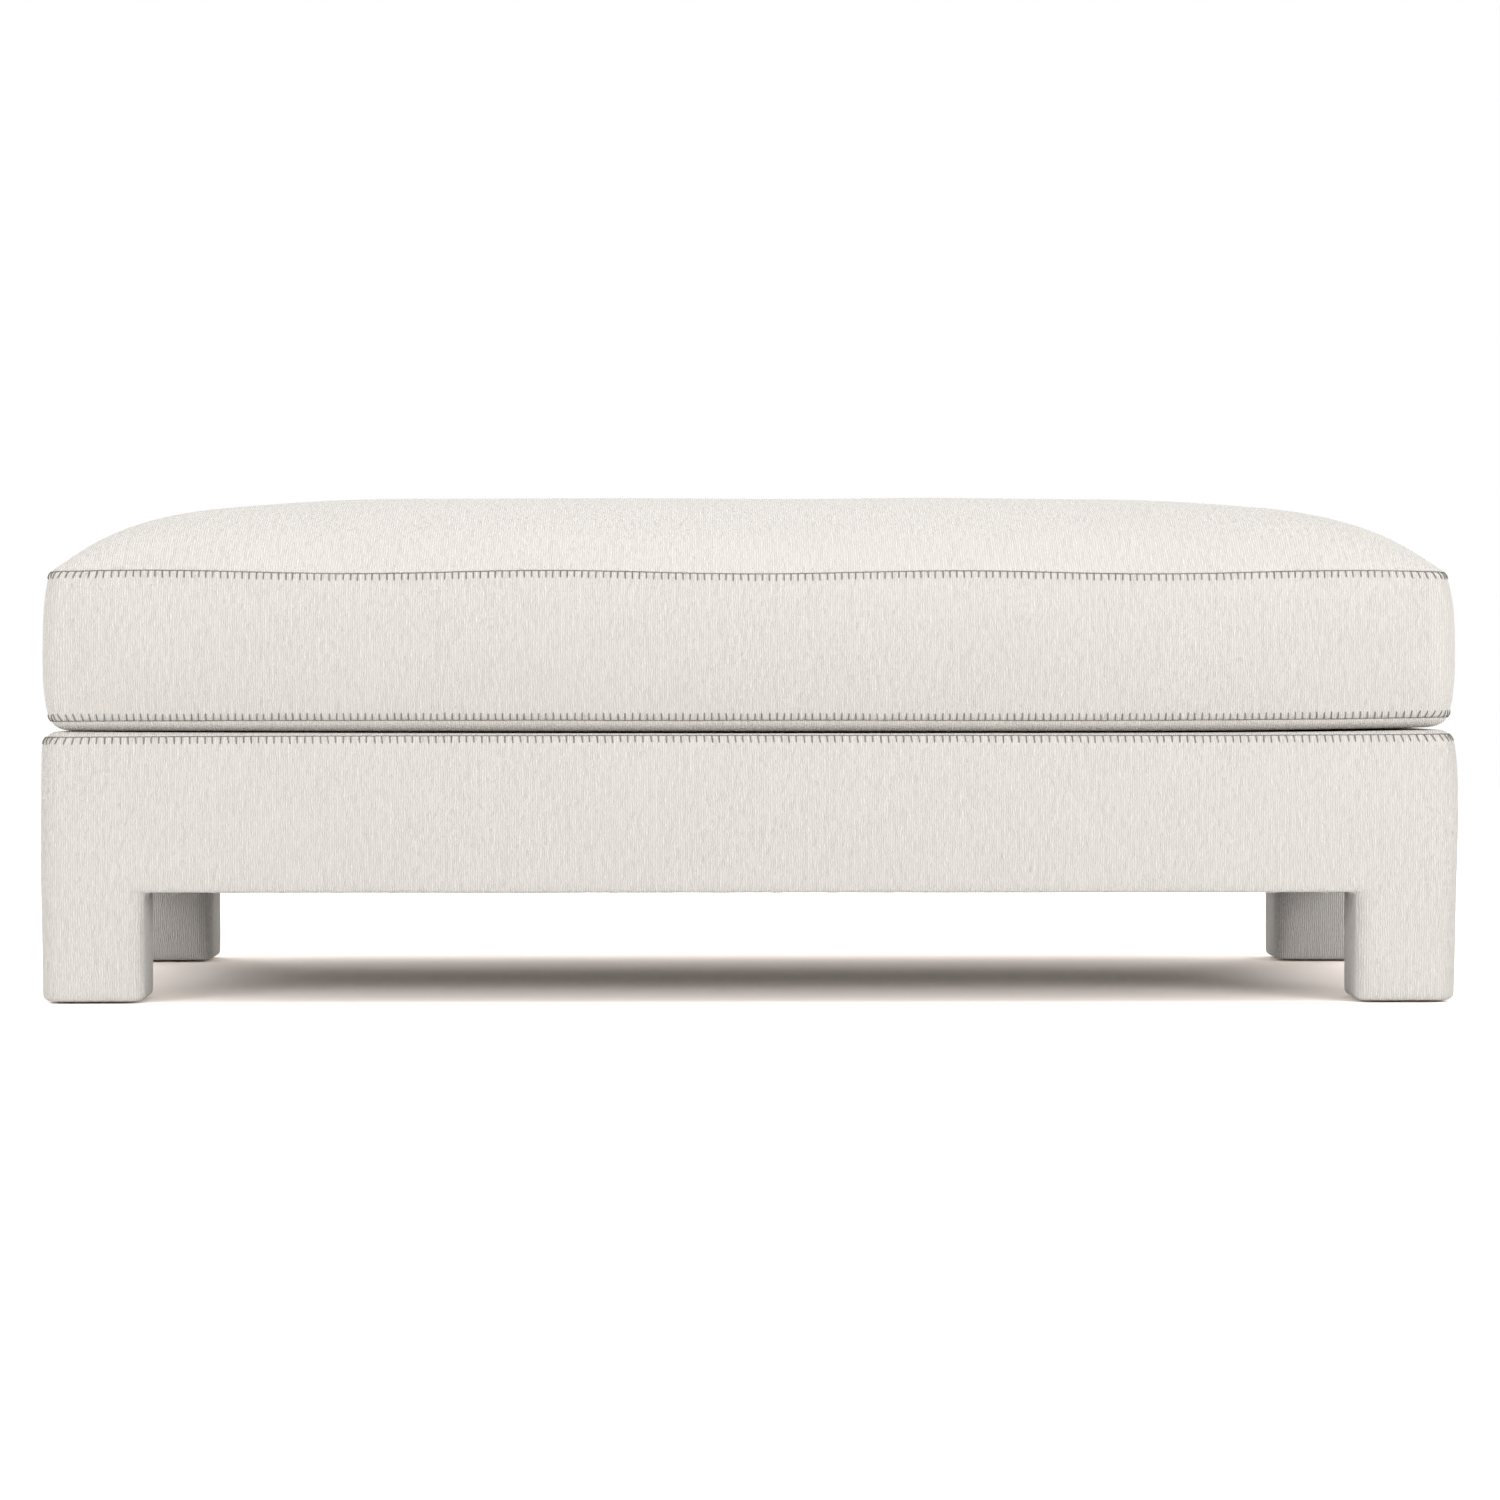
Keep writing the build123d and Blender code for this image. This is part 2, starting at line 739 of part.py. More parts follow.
# The dust cover under the frame, cut away round the legs
dust_leg = leg_size + dust_cover_leg_gap
with BuildPart() as dust_cover:
    with BuildSketch(Plane.XY.offset(apron_bottom - gap - dust_cover_thickness)):
        Rectangle(width - 2 * dust_cover_inset, depth - 2 * dust_leg)
        Rectangle(width - 2 * dust_leg, depth - 2 * dust_cover_inset)
    extrude(amount=dust_cover_thickness)
dust_cover.part.label = "dust_cover"
export_step(dust_cover.part, "parts/dust_cover.step")

# Stitching threads, each a closed round line just clear of its seam
roll_fall = top_roll_radius - base_seam_drop
base_seam_inset = top_roll_radius - math.sqrt(top_roll_radius**2 - roll_fall**2)
thread_stand = thread_radius + gap
threads = {
    "base_edge_stitching": (
        width / 2 - base_seam_inset + thread_stand,
        depth / 2 - base_seam_inset + thread_stand,
        corner_radius - base_seam_inset + thread_stand,
        base_seam_z,
    ),
    "cushion_bottom_stitching": (
        seam_x + thread_stand,
        seam_y + thread_stand,
        seam_radius + thread_stand,
        low_seam_z,
    ),
    "cushion_top_stitching": (
        seam_x + thread_stand,
        seam_y + thread_stand,
        seam_radius + thread_stand,
        top_seam_z,
    ),
}
for name, (half_x, half_y, radius, height) in threads.items():
    with BuildSketch(Plane.XY.offset(height)) as run:
        RectangleRounded(2 * half_x, 2 * half_y, radius)
    path = run.sketch.face().outer_wire()
    with BuildPart() as stitching:
        with BuildSketch(Plane(origin=path @ 0, z_dir=path % 0)):
            Circle(thread_radius)
        sweep(path=path)
    stitching.part.label = name
    export_step(stitching.part, f"parts/{name}.step")

# The cushion's filling
zip_z = low_seam_z + boxing_height / 2
zip_half = zip_strip_length / 2
chain_outer = bulge_y - chain_recess
chain_inner = chain_outer - chain_thickness
slider_back = chain_inner - gap - slider_plate
channel_half = zip_slot / 2 + tape_width + gap
channel = block(
    (-zip_half - gap, slider_back - gap, zip_z - channel_half),
    (zip_half + gap, depth, zip_z + channel_half),
)
with BuildPart() as cushion_foam_core:
    add(boxing_form(cover + gap))
    add(channel, mode=Mode.SUBTRACT)
cushion_foam_core.part.label = "cushion_foam_core"
export_step(cushion_foam_core.part, "parts/cushion_foam_core.step")

with BuildPart() as fibre_crown:
    add(crown_form(cover + gap))
fibre_crown.part.label = "fibre_crown"
export_step(fibre_crown.part, "parts/fibre_crown.step")

with BuildPart() as fibre_underlay:
    add(underside_form(cover + gap))
fibre_underlay.part.label = "fibre_underlay"
export_step(fibre_underlay.part, "parts/fibre_underlay.step")

# The cushion's cover
with BuildPart() as cushion_top_panel:
    add(crown_form(0))
    add(crown_form(cover), mode=Mode.SUBTRACT)
cushion_top_panel.part.label = "cushion_top_panel"
export_step(cushion_top_panel.part, "parts/cushion_top_panel.step")

with BuildPart() as cushion_bottom_panel:
    add(underside_form(0))
    add(underside_form(cover), mode=Mode.SUBTRACT)
cushion_bottom_panel.part.label = "cushion_bottom_panel"
export_step(cushion_bottom_panel.part, "parts/cushion_bottom_panel.step")

zip_window = block((-zip_half, 0, low_seam_z), (zip_half, depth, top_seam_z))
upper_window = block((-zip_half, 0, zip_z + zip_slot / 2), (zip_half, depth, top_seam_z))
lower_window = block((-zip_half, 0, low_seam_z), (zip_half, depth, zip_z - zip_slot / 2))
with BuildPart() as band:
    add(boxing_form(0))
    add(boxing_form(cover), mode=Mode.SUBTRACT)

with BuildPart() as cushion_boxing:
    add(band.part)
    add(zip_window, mode=Mode.SUBTRACT)
cushion_boxing.part.label = "cushion_boxing"
export_step(cushion_boxing.part, "parts/cushion_boxing.step")

for name, window in (("zip_boxing_upper", upper_window), ("zip_boxing_lower", lower_window)):
    with BuildPart() as strip:
        add(band.part)
        add(window, mode=Mode.INTERSECT)
    strip.part.label = name
    export_step(strip.part, f"parts/{name}.step")

# The zip: tapes behind the strips, the two rows of the chain between them, stops at both ends
tape_share = 0.5 + (zip_slot / 2 + tape_width) / boxing_height
tape_outer = bulge_y - cover - boxing_inset(tape_share) - gap
tape_half = zip_half - tape_end
chain_half = zip_travel / 2 + slider_length / 2 + gap + stop_length
with BuildPart() as zip_tapes:
    with BuildSketch(Plane.XZ.offset(-tape_outer)):
        with Locations(
            (0, zip_z - zip_slot / 2 - tape_width / 2), (0, zip_z + zip_slot / 2 + tape_width / 2)
        ):
            Rectangle(2 * tape_half, tape_width)
    extrude(amount=tape_thickness)
zip_tapes.part.label = "zip_tapes"
export_step(zip_tapes.part, "parts/zip_tapes.step")

row_height = (zip_slot - chain_split) / 2
row_offset = chain_split / 2 + row_height / 2
with BuildPart() as zip_chain:
    with BuildSketch(Plane.XZ.offset(-chain_outer)):
        with Locations((0, zip_z - row_offset), (0, zip_z + row_offset)):
            Rectangle(2 * chain_half, row_height)
    extrude(amount=chain_thickness)
zip_chain.part.label = "zip_chain"
export_step(zip_chain.part, "parts/zip_chain.step")

stop_x = chain_half - stop_length / 2
with BuildPart() as zip_stops:
    with BuildSketch(Plane.XZ.offset(-chain_outer)):
        with Locations((-stop_x, zip_z)):
            Rectangle(stop_length, zip_slot - 2 * gap)
        with Locations((stop_x, zip_z - row_offset), (stop_x, zip_z + row_offset)):
            Rectangle(stop_length, row_height - gap)
    extrude(amount=-stop_height)
zip_stops.part.label = "zip_stops"
export_step(zip_stops.part, "parts/zip_stops.step")

# The slider, closed at the right end, with lugs and a pin that carry the pull
slider_x = zip_travel / 2
plate_inner = bulge_y + gap
plate_outer = plate_inner + slider_plate
pin_y = plate_outer + eye_lift + eye_radius
lug_place = eye_width / 2 + gap + lug_thickness / 2
with BuildPart() as zip_slider:
    with BuildSketch(Plane.XZ.offset(-plate_outer)):
        with Locations((slider_x, zip_z)):
            RectangleRounded(slider_length, slider_height, slider_height / 3)
    extrude(amount=slider_plate)
    with BuildSketch(Plane.XZ.offset(-slider_back - slider_plate)):
        with Locations((slider_x, zip_z)):
            RectangleRounded(slider_length, slider_height, slider_height / 3)
    extrude(amount=slider_plate)
    with BuildSketch(Plane.XZ.offset(-plate_inner)):
        with Locations((slider_x, zip_z)):
            Rectangle(web_length, web_thickness)
    extrude(amount=plate_inner - slider_back - slider_plate)
    with BuildSketch(Plane.XZ.offset(-pin_y - pin_radius)):
        with Locations((slider_x, zip_z - lug_place), (slider_x, zip_z + lug_place)):
            Rectangle(lug_length, lug_thickness)
    extrude(amount=pin_y + pin_radius - plate_outer)
    with BuildSketch(Plane.XY.offset(zip_z - lug_place)):
        with Locations((slider_x, pin_y)):
            Circle(pin_radius)
    extrude(amount=2 * lug_place)
zip_slider.part.label = "zip_slider"
export_step(zip_slider.part, "parts/zip_slider.step")

# The pull: an eye on the pin, a neck between the lugs and a tab
with BuildPart() as zip_pull:
    with BuildSketch(Plane.XY.offset(zip_z - eye_width / 2)):
        with Locations((slider_x, pin_y)):
            Circle(eye_radius)
        with Locations((slider_x - pull_neck / 2 - eye_radius / 2, pin_y)):
            Rectangle(pull_neck + eye_radius, pull_thickness)
        with Locations((slider_x, pin_y)):
            Circle(pin_radius + eye_play, mode=Mode.SUBTRACT)
    extrude(amount=eye_width)
    with BuildSketch(Plane.XZ.offset(-pin_y - pull_thickness / 2)):
        with Locations((slider_x - pull_neck - pull_length / 2, zip_z)):
            RectangleRounded(pull_length, pull_width, pull_corner_radius)
    extrude(amount=pull_thickness)
zip_pull.part.label = "zip_pull"
export_step(zip_pull.part, "parts/zip_pull.step")
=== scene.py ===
import json
import math
import random

import bpy
import numpy as np
from bpy.props import FloatProperty, FloatVectorProperty, IntProperty, PointerProperty
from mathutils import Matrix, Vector
from mathutils.bvhtree import BVHTree
from mathutils.noise import noise


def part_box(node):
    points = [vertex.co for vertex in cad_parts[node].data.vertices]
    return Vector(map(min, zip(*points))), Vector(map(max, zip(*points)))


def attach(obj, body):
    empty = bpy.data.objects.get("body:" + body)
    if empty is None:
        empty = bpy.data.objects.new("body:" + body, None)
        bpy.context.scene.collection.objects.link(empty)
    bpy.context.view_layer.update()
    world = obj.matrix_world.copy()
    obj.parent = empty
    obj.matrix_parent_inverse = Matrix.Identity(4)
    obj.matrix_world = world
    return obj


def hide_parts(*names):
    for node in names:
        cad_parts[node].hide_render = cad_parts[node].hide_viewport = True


bl_info = {
    "name": "Ottoman coffee table",
    "version": (1, 0, 0),
    "blender": (4, 5, 0),
    "location": "3D View > Sidebar > Ottoman",
    "description": "Covers, cushion, blanket stitching, zip and finishes of an ottoman coffee table",
    "category": "Object",
}

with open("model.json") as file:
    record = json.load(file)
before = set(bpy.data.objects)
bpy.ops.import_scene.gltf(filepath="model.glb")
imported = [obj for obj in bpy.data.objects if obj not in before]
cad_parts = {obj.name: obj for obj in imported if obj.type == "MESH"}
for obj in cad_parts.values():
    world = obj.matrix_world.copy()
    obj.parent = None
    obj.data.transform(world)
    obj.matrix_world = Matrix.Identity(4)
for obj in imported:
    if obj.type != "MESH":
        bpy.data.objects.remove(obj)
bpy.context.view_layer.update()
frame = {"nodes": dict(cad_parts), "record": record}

# Lengths are in metres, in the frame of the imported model: X along the table, Y to the back, Z up.
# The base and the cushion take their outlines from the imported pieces.
base_low, base_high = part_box("base_wrap")
half_width = base_high.x
half_depth = base_high.y
foot_bottom = base_low.z
base_seam = base_high.z
deck_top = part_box("base_lip_band")[1].z
dust_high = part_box("dust_cover")[1]
apron_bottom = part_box("base_back_panel")[0].z
leg_inner_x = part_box("base_back_panel")[1].x
leg_size = half_width - leg_inner_x
leg_inner_y = half_depth - leg_size
boxing_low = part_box("cushion_boxing")[0]
crown_low, crown_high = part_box("cushion_top_panel")
cushion_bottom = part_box("cushion_bottom_panel")[0].z
deck_cloth_half_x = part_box("deck_cloth")[1].x
zip_low, zip_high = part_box("zip_chain")
strip_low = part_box("zip_boxing_lower")[1].z
strip_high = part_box("zip_boxing_upper")[0].z
strip_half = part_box("zip_boxing_upper")[1].x

MM = 0.001

# The crown from its seam to its middle: the place, the height there and how round its outline is
crown_inset_shares = (0.0, 0.035, 0.08, 0.14, 0.22, 0.335, 0.495, 0.69, 0.84, 1.0)
crown_rise_shares = (0.0, 0.125, 0.30, 0.48, 0.645, 0.775, 0.875, 0.957, 0.99, 1.0)
crown_corner_shares = (0.0, 0.03, 0.08, 0.15, 0.25, 0.42, 0.70, 0.90, 0.97, 1.0)


def length_value(name, description, millimetres):
    """A length that a user can change."""
    return FloatProperty(name=name, description=description, default=millimetres * MM, unit="LENGTH")


def number_value(name, description, default):
    """A plain number that a user can change."""
    return FloatProperty(name=name, description=description, default=default)


def colour_value(name, description, default):
    """A colour that a user can change, in linear values."""
    return FloatVectorProperty(name=name, description=description, subtype="COLOR", default=default)


class CushionSizes(bpy.types.PropertyGroup):
    """Shape of the loose cushion."""

    cell: length_value("Cell", "Size of one quad of the cushion before it is refined", 12)
    corner_radius: length_value("Corner radius", "Radius of the corners at the seams", 22)
    seam_depth: length_value("Seam depth", "How far the stitched seams are drawn in", 2.2)
    spread: length_value("Spread", "How far the seams stand out at both ends", 3)
    bulge: length_value("Bulge", "How far the sides stand out between the seams", 9.5)
    lean: length_value("Lean", "How far the top seam stands in at the right end", 3.2)
    crown_slack: length_value("Crown slack", "How much lower the crown starts than it ends", 8.5)
    seam_wave: length_value("Seam wave", "How far the top seam wanders up and down", 1.7)
    corner_lift: length_value("Corner lift", "How far the right front corner curls up", 4.2)
    swell: length_value("Swell", "Most that the filling pushes the cover out", 6)
    pressure: number_value("Pressure", "Pressure of the filling on the cover", 4.0)
    sim_frames: IntProperty(name="Frames", description="Frames that the filling takes to settle", default=16)


class ZipSizes(bpy.types.PropertyGroup):
    """The zip in the cushion's back."""

    strip_wide: length_value("Strip width", "Width of the folded strip beside the zip", 11)
    strip_thick: length_value("Strip thickness", "Thickness of the folded strip", 2.4)
    strip_proud: length_value("Strip height", "How far the strips stand over the coil", 0.4)
    coil_pitch: length_value("Coil pitch", "Distance between two turns of the coil", 1.6)
    split: length_value("Split", "Gap between the two rows of the coil", 0.5)


class BaseSizes(bpy.types.PropertyGroup):
    """Shape of the upholstered base and what lies under it."""

    cell: length_value("Cell", "Size of one quad of the base before it is refined", 12)
    corner_radius: length_value("Corner radius", "Radius of the upright corners", 17)
    roll_radius: length_value("Roll radius", "Radius of the roll along the top edge", 15)
    edge_radius: length_value("Edge radius", "Radius of the legs' upright edges", 17)
    leg_swell: length_value("Leg swell", "How far padding widens the legs inwards", 4)
    rebate: length_value("Rebate", "How far the dust cover lies above the sides' edge", 2)
    side_bulge: length_value("Side bulge", "How far the sides stand out at half height", 2.0)
    lap: length_value("Lap", "Width of the back panel's lapped seams", 10)
    shoulder: length_value("Shoulder", "How far the right end draws in at its top edge", 5.0)
    taper: length_value("Taper", "How far the sides draw in at the feet", 3.6)
    padding: length_value("Padding", "Thickness of the cover with its padding", 11)
    staple_pitch: length_value("Staple pitch", "Distance between the dust cover's staples", 55)


class StitchSizes(bpy.types.PropertyGroup):
    """The blanket stitching."""

    pitch: length_value("Pitch", "Distance between two stitches", 7.2)
    base_pitch: length_value("Base pitch", "Distance between two stitches of the base", 7.65)
    reach: length_value("Reach", "Length of a stitch's leg", 6.6)
    line_share: number_value("Line share", "Thickness of the thread along the seam, where it sinks in, as "
                             "a share of the legs'", 0.66)
    fan: number_value("Fan", "Share by which stitches lean towards the corners", 0.55)
    thread: length_value("Thread", "Radius of the thread", 0.60)


class CoverColours(bpy.types.PropertyGroup):
    """Colours of the cloths and the thread, as linear values."""

    cloth: colour_value("Cloth", "Woven cover cloth", (0.848, 0.835, 0.815))
    # The second cloth colour is painted shade: it fills the low places of the weave, as though its ribs
    # shaded them.
    cloth_hollow_shade: colour_value("Cloth shade", "Darker yarns of the cover cloth", (0.690, 0.652, 0.604))
    deck: colour_value("Deck cloth", "Plain cloth under the cushion", (0.66, 0.62, 0.56))
    thread: colour_value("Thread", "Grey stitching thread", (0.150, 0.143, 0.136))
    dust_cloth: colour_value("Dust cloth", "Black cloth under the frame", (0.018, 0.018, 0.019))


class StageSizes(bpy.types.PropertyGroup):
    """Floor and light."""

    floor: length_value("Floor", "Side of the floor", 14000)
    sky: number_value("Sky", "Strength of the even light", 0.70)
    low_sky: colour_value("Low sky", "Colour of the even light close to the floor", (1.0, 0.82, 0.66))
    lamp: number_value("Lamp", "Power of the soft lamps at the sides", 36.5)
    top_lamp: number_value("Top lamp", "Power of the soft lamp above", 23.0)
    floor_lift: colour_value("Floor lift", "Colour added to the floor that the camera sees",
                             (1.05, 0.91, 0.81))


# General helpers

def settings():
    """The scene, which holds the sizes and colours."""
    return bpy.context.scene


def select_only(*objects):
    """Deselects everything, then selects these objects and makes the first one active."""
    if bpy.context.mode != "OBJECT":
        bpy.ops.object.mode_set(mode="OBJECT")
    bpy.ops.object.select_all(action="DESELECT")
    for piece in objects:
        piece.select_set(True)
    bpy.context.view_layer.objects.active = objects[0]


def added(name):
    """The object that an operator has just added, with its place put into its mesh."""
    piece = bpy.context.view_layer.objects.active
    piece.name = name
    piece.data.name = name
    select_only(piece)
    bpy.ops.object.transform_apply(location=True, rotation=True, scale=True)
    return piece


def join(name, pieces):
    """Joins pieces into one object."""
    select_only(*pieces)
    bpy.ops.object.join()
    pieces[0].name = name
    pieces[0].data.name = name
    return pieces[0]


def apply_modifier(piece, kind, **values):
    """Adds a modifier, sets its values and applies it."""
    select_only(piece)
    modifier = piece.modifiers.new(kind.lower(), kind)
    for key, value in values.items():
        setattr(modifier, key, value)
    bpy.ops.object.modifier_apply(modifier=modifier.name)


def read_values(items, name, width=3, kind=float):
    """One property of all of a mesh's points, corners or faces, as rows of an array."""
    values = np.empty(len(items) * width, kind)
    items.foreach_get(name, values)
    return values.reshape(-1, width)


def points_of(piece):
    """The mesh's points as an array."""
    return read_values(piece.data.vertices, "co")


def normals_of(piece):
    """The outward directions at the mesh's points as an array."""
    return read_values(piece.data.vertices, "normal")


def move_points(piece, points):
    """Puts the mesh's points where the array says."""
    piece.data.vertices.foreach_set("co", points.ravel())
    piece.data.update()


def bevel_all(offset):
    """Cuts one flat bevel along every edge of the active piece."""
    bpy.ops.object.mode_set(mode="EDIT")
    bpy.ops.mesh.select_all(action="SELECT")
    bpy.ops.mesh.bevel(offset=offset, segments=1, affect="EDGES")
    bpy.ops.object.mode_set(mode="OBJECT")


def smooth(piece, angle=None):
    """Shades a piece smooth, sharp only past the angle where one is given."""
    select_only(piece)
    if angle is None:
        bpy.ops.object.shade_smooth()
    else:
        bpy.ops.object.shade_smooth_by_angle(angle=math.radians(angle))


def dress(piece, body, slot, materials):
    """Gives a finished piece its body, its slot and the material of the same name."""
    piece.data.materials.clear()
    piece.data.materials.append(materials[slot])
    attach(piece, body)


def curve_through(shares, values):
    """A smooth curve through points, as a function of the share."""
    slopes = np.gradient(values, shares)

    def value(share):
        place = np.clip(np.searchsorted(shares, share) - 1, 0, len(shares) - 2)
        width = shares[place + 1] - shares[place]
        t = (share - shares[place]) / width
        start, end = values[place], values[place + 1]
        return (start * (1 + 2 * t) * (1 - t) ** 2 + end * t * t * (3 - 2 * t)
                + width * (slopes[place] * t * (1 - t) ** 2 - slopes[place + 1] * t * t * (1 - t)))

    return value


crown_rise = curve_through(np.array(crown_inset_shares), np.array(crown_rise_shares))
crown_corner = curve_through(np.array(crown_inset_shares), np.array(crown_corner_shares))


def steps_between(start, end, cell):
    """Even places from start to end, about a cell apart, without start itself."""
    count = max(1, round((end - start) / cell))
    return [start + (end - start) * (n + 1) / count for n in range(count)]


def axis_places(half, near, cell):
    """Places along an axis from -half to half: near ones by the ends, even ones between."""
    low = [distance - half for distance in list(near) + steps_between(near[-1], half, cell)]
    return low + [-place for place in reversed(low[:-1])]


def round_corners(x, y, half_x, half_y, radius_at):
    """Moves a point of nested square outlines onto the same outlines with round corners."""
    from_x = half_x - abs(x)
    from_y = half_y - abs(y)
    inset = min(from_x, from_y)
    radius = radius_at(inset)
    away = max(from_x, from_y) - inset
    if radius <= 0 or away >= radius:
        return x, y
    turn = math.pi / 4 * (1 - away / radius)
    along, across = radius * math.sin(turn), radius * math.cos(turn)
    if from_x < from_y:
        along, across = across, along
    return (math.copysign(half_x - inset - radius + along, x),
            math.copysign(half_y - inset - radius + across, y))


lattice_sides = {
    (1, 0, 0): ((1, 0, 0), (1, 1, 0), (1, 1, 1), (1, 0, 1)),
    (-1, 0, 0): ((0, 0, 0), (0, 0, 1), (0, 1, 1), (0, 1, 0)),
    (0, 1, 0): ((0, 1, 0), (0, 1, 1), (1, 1, 1), (1, 1, 0)),
    (0, -1, 0): ((0, 0, 0), (1, 0, 0), (1, 0, 1), (0, 0, 1)),
    (0, 0, 1): ((0, 0, 1), (1, 0, 1), (1, 1, 1), (0, 1, 1)),
    (0, 0, -1): ((0, 0, 0), (0, 1, 0), (1, 1, 0), (1, 0, 0)),
}


def lattice_skin(name, counts, place, filled=None, shown=None):
    """Quads round the filled cells of a lattice of counts cells, each node put where place says."""
    nodes = {}
    faces = []
    for i in range(counts[0]):
        for j in range(counts[1]):
            for k in range(counts[2]):
                if filled and not filled(i, j, k):
                    continue
                for side, corners in lattice_sides.items():
                    a, b, c = i + side[0], j + side[1], k + side[2]
                    inside = 0 <= a < counts[0] and 0 <= b < counts[1] and 0 <= c < counts[2]
                    if inside and (not filled or filled(a, b, c)):
                        continue
                    if shown and not shown(side, i, j, k):
                        continue
                    corner_nodes = [(i + u, j + v, k + w) for u, v, w in corners]
                    faces.append([nodes.setdefault(node, len(nodes)) for node in corner_nodes])
    mesh = bpy.data.meshes.new(name)
    mesh.from_pydata([place(*node) for node in nodes], [], faces)
    piece = bpy.data.objects.new(name, mesh)
    bpy.context.scene.collection.objects.link(piece)
    return piece, list(nodes)


def outline_length(x, y, half_x, half_y, radius):
    """How far round a rounded outline a point lies, from the middle of the front, per quarter."""
    past_x = np.maximum(np.abs(x) - (half_x - radius), 0)
    past_y = np.maximum(np.abs(y) - (half_y - radius), 0)
    turn = np.arctan2(past_x, past_y)
    straight = np.minimum(np.abs(x), half_x - radius)
    down = np.where(past_y > 0, 0, half_y - radius - np.abs(y))
    return np.where(past_x > 0, half_x - radius + radius * turn + down, straight)


def lay_cloth(piece, half_x, half_y, radius):
    """A UV map in metres: round the outline on the sides, straight across on top and underneath."""
    level_from = 0.72
    outward_from = 0.4
    side_depth = radius * 3
    mesh = piece.data
    corners_each = read_values(mesh.polygons, "loop_total", 1, int)[:, 0]
    normal = np.repeat(read_values(mesh.polygons, "normal"), corners_each, axis=0)
    centre = np.repeat(read_values(mesh.polygons, "center"), corners_each, axis=0)
    x, y, z = points_of(piece)[read_values(mesh.loops, "vertex_index", 1, int)[:, 0]].T
    quarter = half_x + half_y - 2 * radius + math.pi / 2 * radius
    around = outline_length(x, y, half_x, half_y, radius)
    around = np.where(centre[:, 1] < 0, around, 2 * quarter - around)
    around = np.copysign(1, centre[:, 0]) * around
    outwards = [normal[:, axis] * np.sign(centre[:, axis]) * (np.abs(centre[:, axis]) > half - side_depth)
                for axis, half in enumerate((half_x, half_y))]
    across = np.where(np.abs(normal[:, 0]) > np.abs(normal[:, 1]), y, x)
    level = np.abs(normal[:, 2]) > level_from
    u = np.where(level, x, np.where(np.maximum(*outwards) > outward_from, around, across))
    v = np.where(level, y, z)
    layer = mesh.uv_layers.new(name="cloth")
    layer.data.foreach_set("uv", np.stack([u, v], axis=1).ravel())


def surface_of(piece):
    """A search tree over a piece's faces."""
    points = [vertex.co.copy() for vertex in piece.data.vertices]
    return BVHTree.FromPolygons(points, [polygon.vertices[:] for polygon in piece.data.polygons])


# Materials

def new_tree(name):
    """A new material and its empty node tree."""
    material = bpy.data.materials.new(name)
    material.use_nodes = True
    tree = material.node_tree
    tree.nodes.clear()
    return material, tree


def feed(tree, socket, value):
    """Links a socket to another one, or sets its own value."""
    if isinstance(value, bpy.types.NodeSocket):
        tree.links.new(value, socket)
    elif socket.type == "RGBA" and len(value) == 3:
        socket.default_value = (*value, 1)
    else:
        socket.default_value = value


def add_node(tree, kind, inputs=None, **values):
    """Adds a node, sets its values, and links or sets its inputs."""
    node = tree.nodes.new(kind)
    for key, value in values.items():
        setattr(node, key, value)
    for key, value in (inputs or {}).items():
        feed(tree, node.inputs[key], value)
    return node


def maths(tree, operation, *values):
    """A sum on numbers or sockets."""
    return add_node(tree, "ShaderNodeMath", dict(enumerate(values)), operation=operation).outputs[0]


def blended(tree, share, first, second):
    """Two colours mixed by a share."""
    return add_node(tree, "ShaderNodeMix", {0: share, 6: first, 7: second}, data_type="RGBA").outputs[2]


def shaded(tree, colour, value):
    """A colour multiplied by a value."""
    return add_node(tree, "ShaderNodeVectorMath", {0: colour, 1: value}, operation="MULTIPLY").outputs[0]


def ranged(tree, value, low, high, to_low=0.0, to_high=1.0):
    """A value moved from the range low to high into another range, and kept inside it."""
    inputs = {0: value, 1: low, 2: high, 3: to_low, 4: to_high}
    return add_node(tree, "ShaderNodeMapRange", inputs).outputs[0]


def noise_value(tree, vector, scale, detail, **more):
    """Cloudy noise at a place."""
    inputs = {"Vector": vector, "Scale": scale, "Detail": detail, **more}
    return add_node(tree, "ShaderNodeTexNoise", inputs).outputs["Fac"]


def stretched(tree, vector, scale, turn=(0, 0, 0)):
    """A place scaled and turned."""
    inputs = {"Vector": vector, "Scale": scale, "Rotation": turn}
    return add_node(tree, "ShaderNodeMapping", inputs).outputs[0]


def object_place(tree):
    """The place on the piece, in metres."""
    return add_node(tree, "ShaderNodeTexCoord").outputs["Object"]


def new_group(name, numbers, outputs):
    """A shader node group: a vector and named numbers with their defaults go in, named values come out."""
    tree = bpy.data.node_groups.new(name, "ShaderNodeTree")
    tree.interface.new_socket("Vector", in_out="INPUT", socket_type="NodeSocketVector")
    for label, default in numbers.items():
        socket = tree.interface.new_socket(label, in_out="INPUT", socket_type="NodeSocketFloat")
        socket.default_value = default
    for label in outputs:
        tree.interface.new_socket(label, in_out="OUTPUT", socket_type="NodeSocketFloat")
    return tree, tree.nodes.new("NodeGroupInput").outputs, tree.nodes.new("NodeGroupOutput").inputs


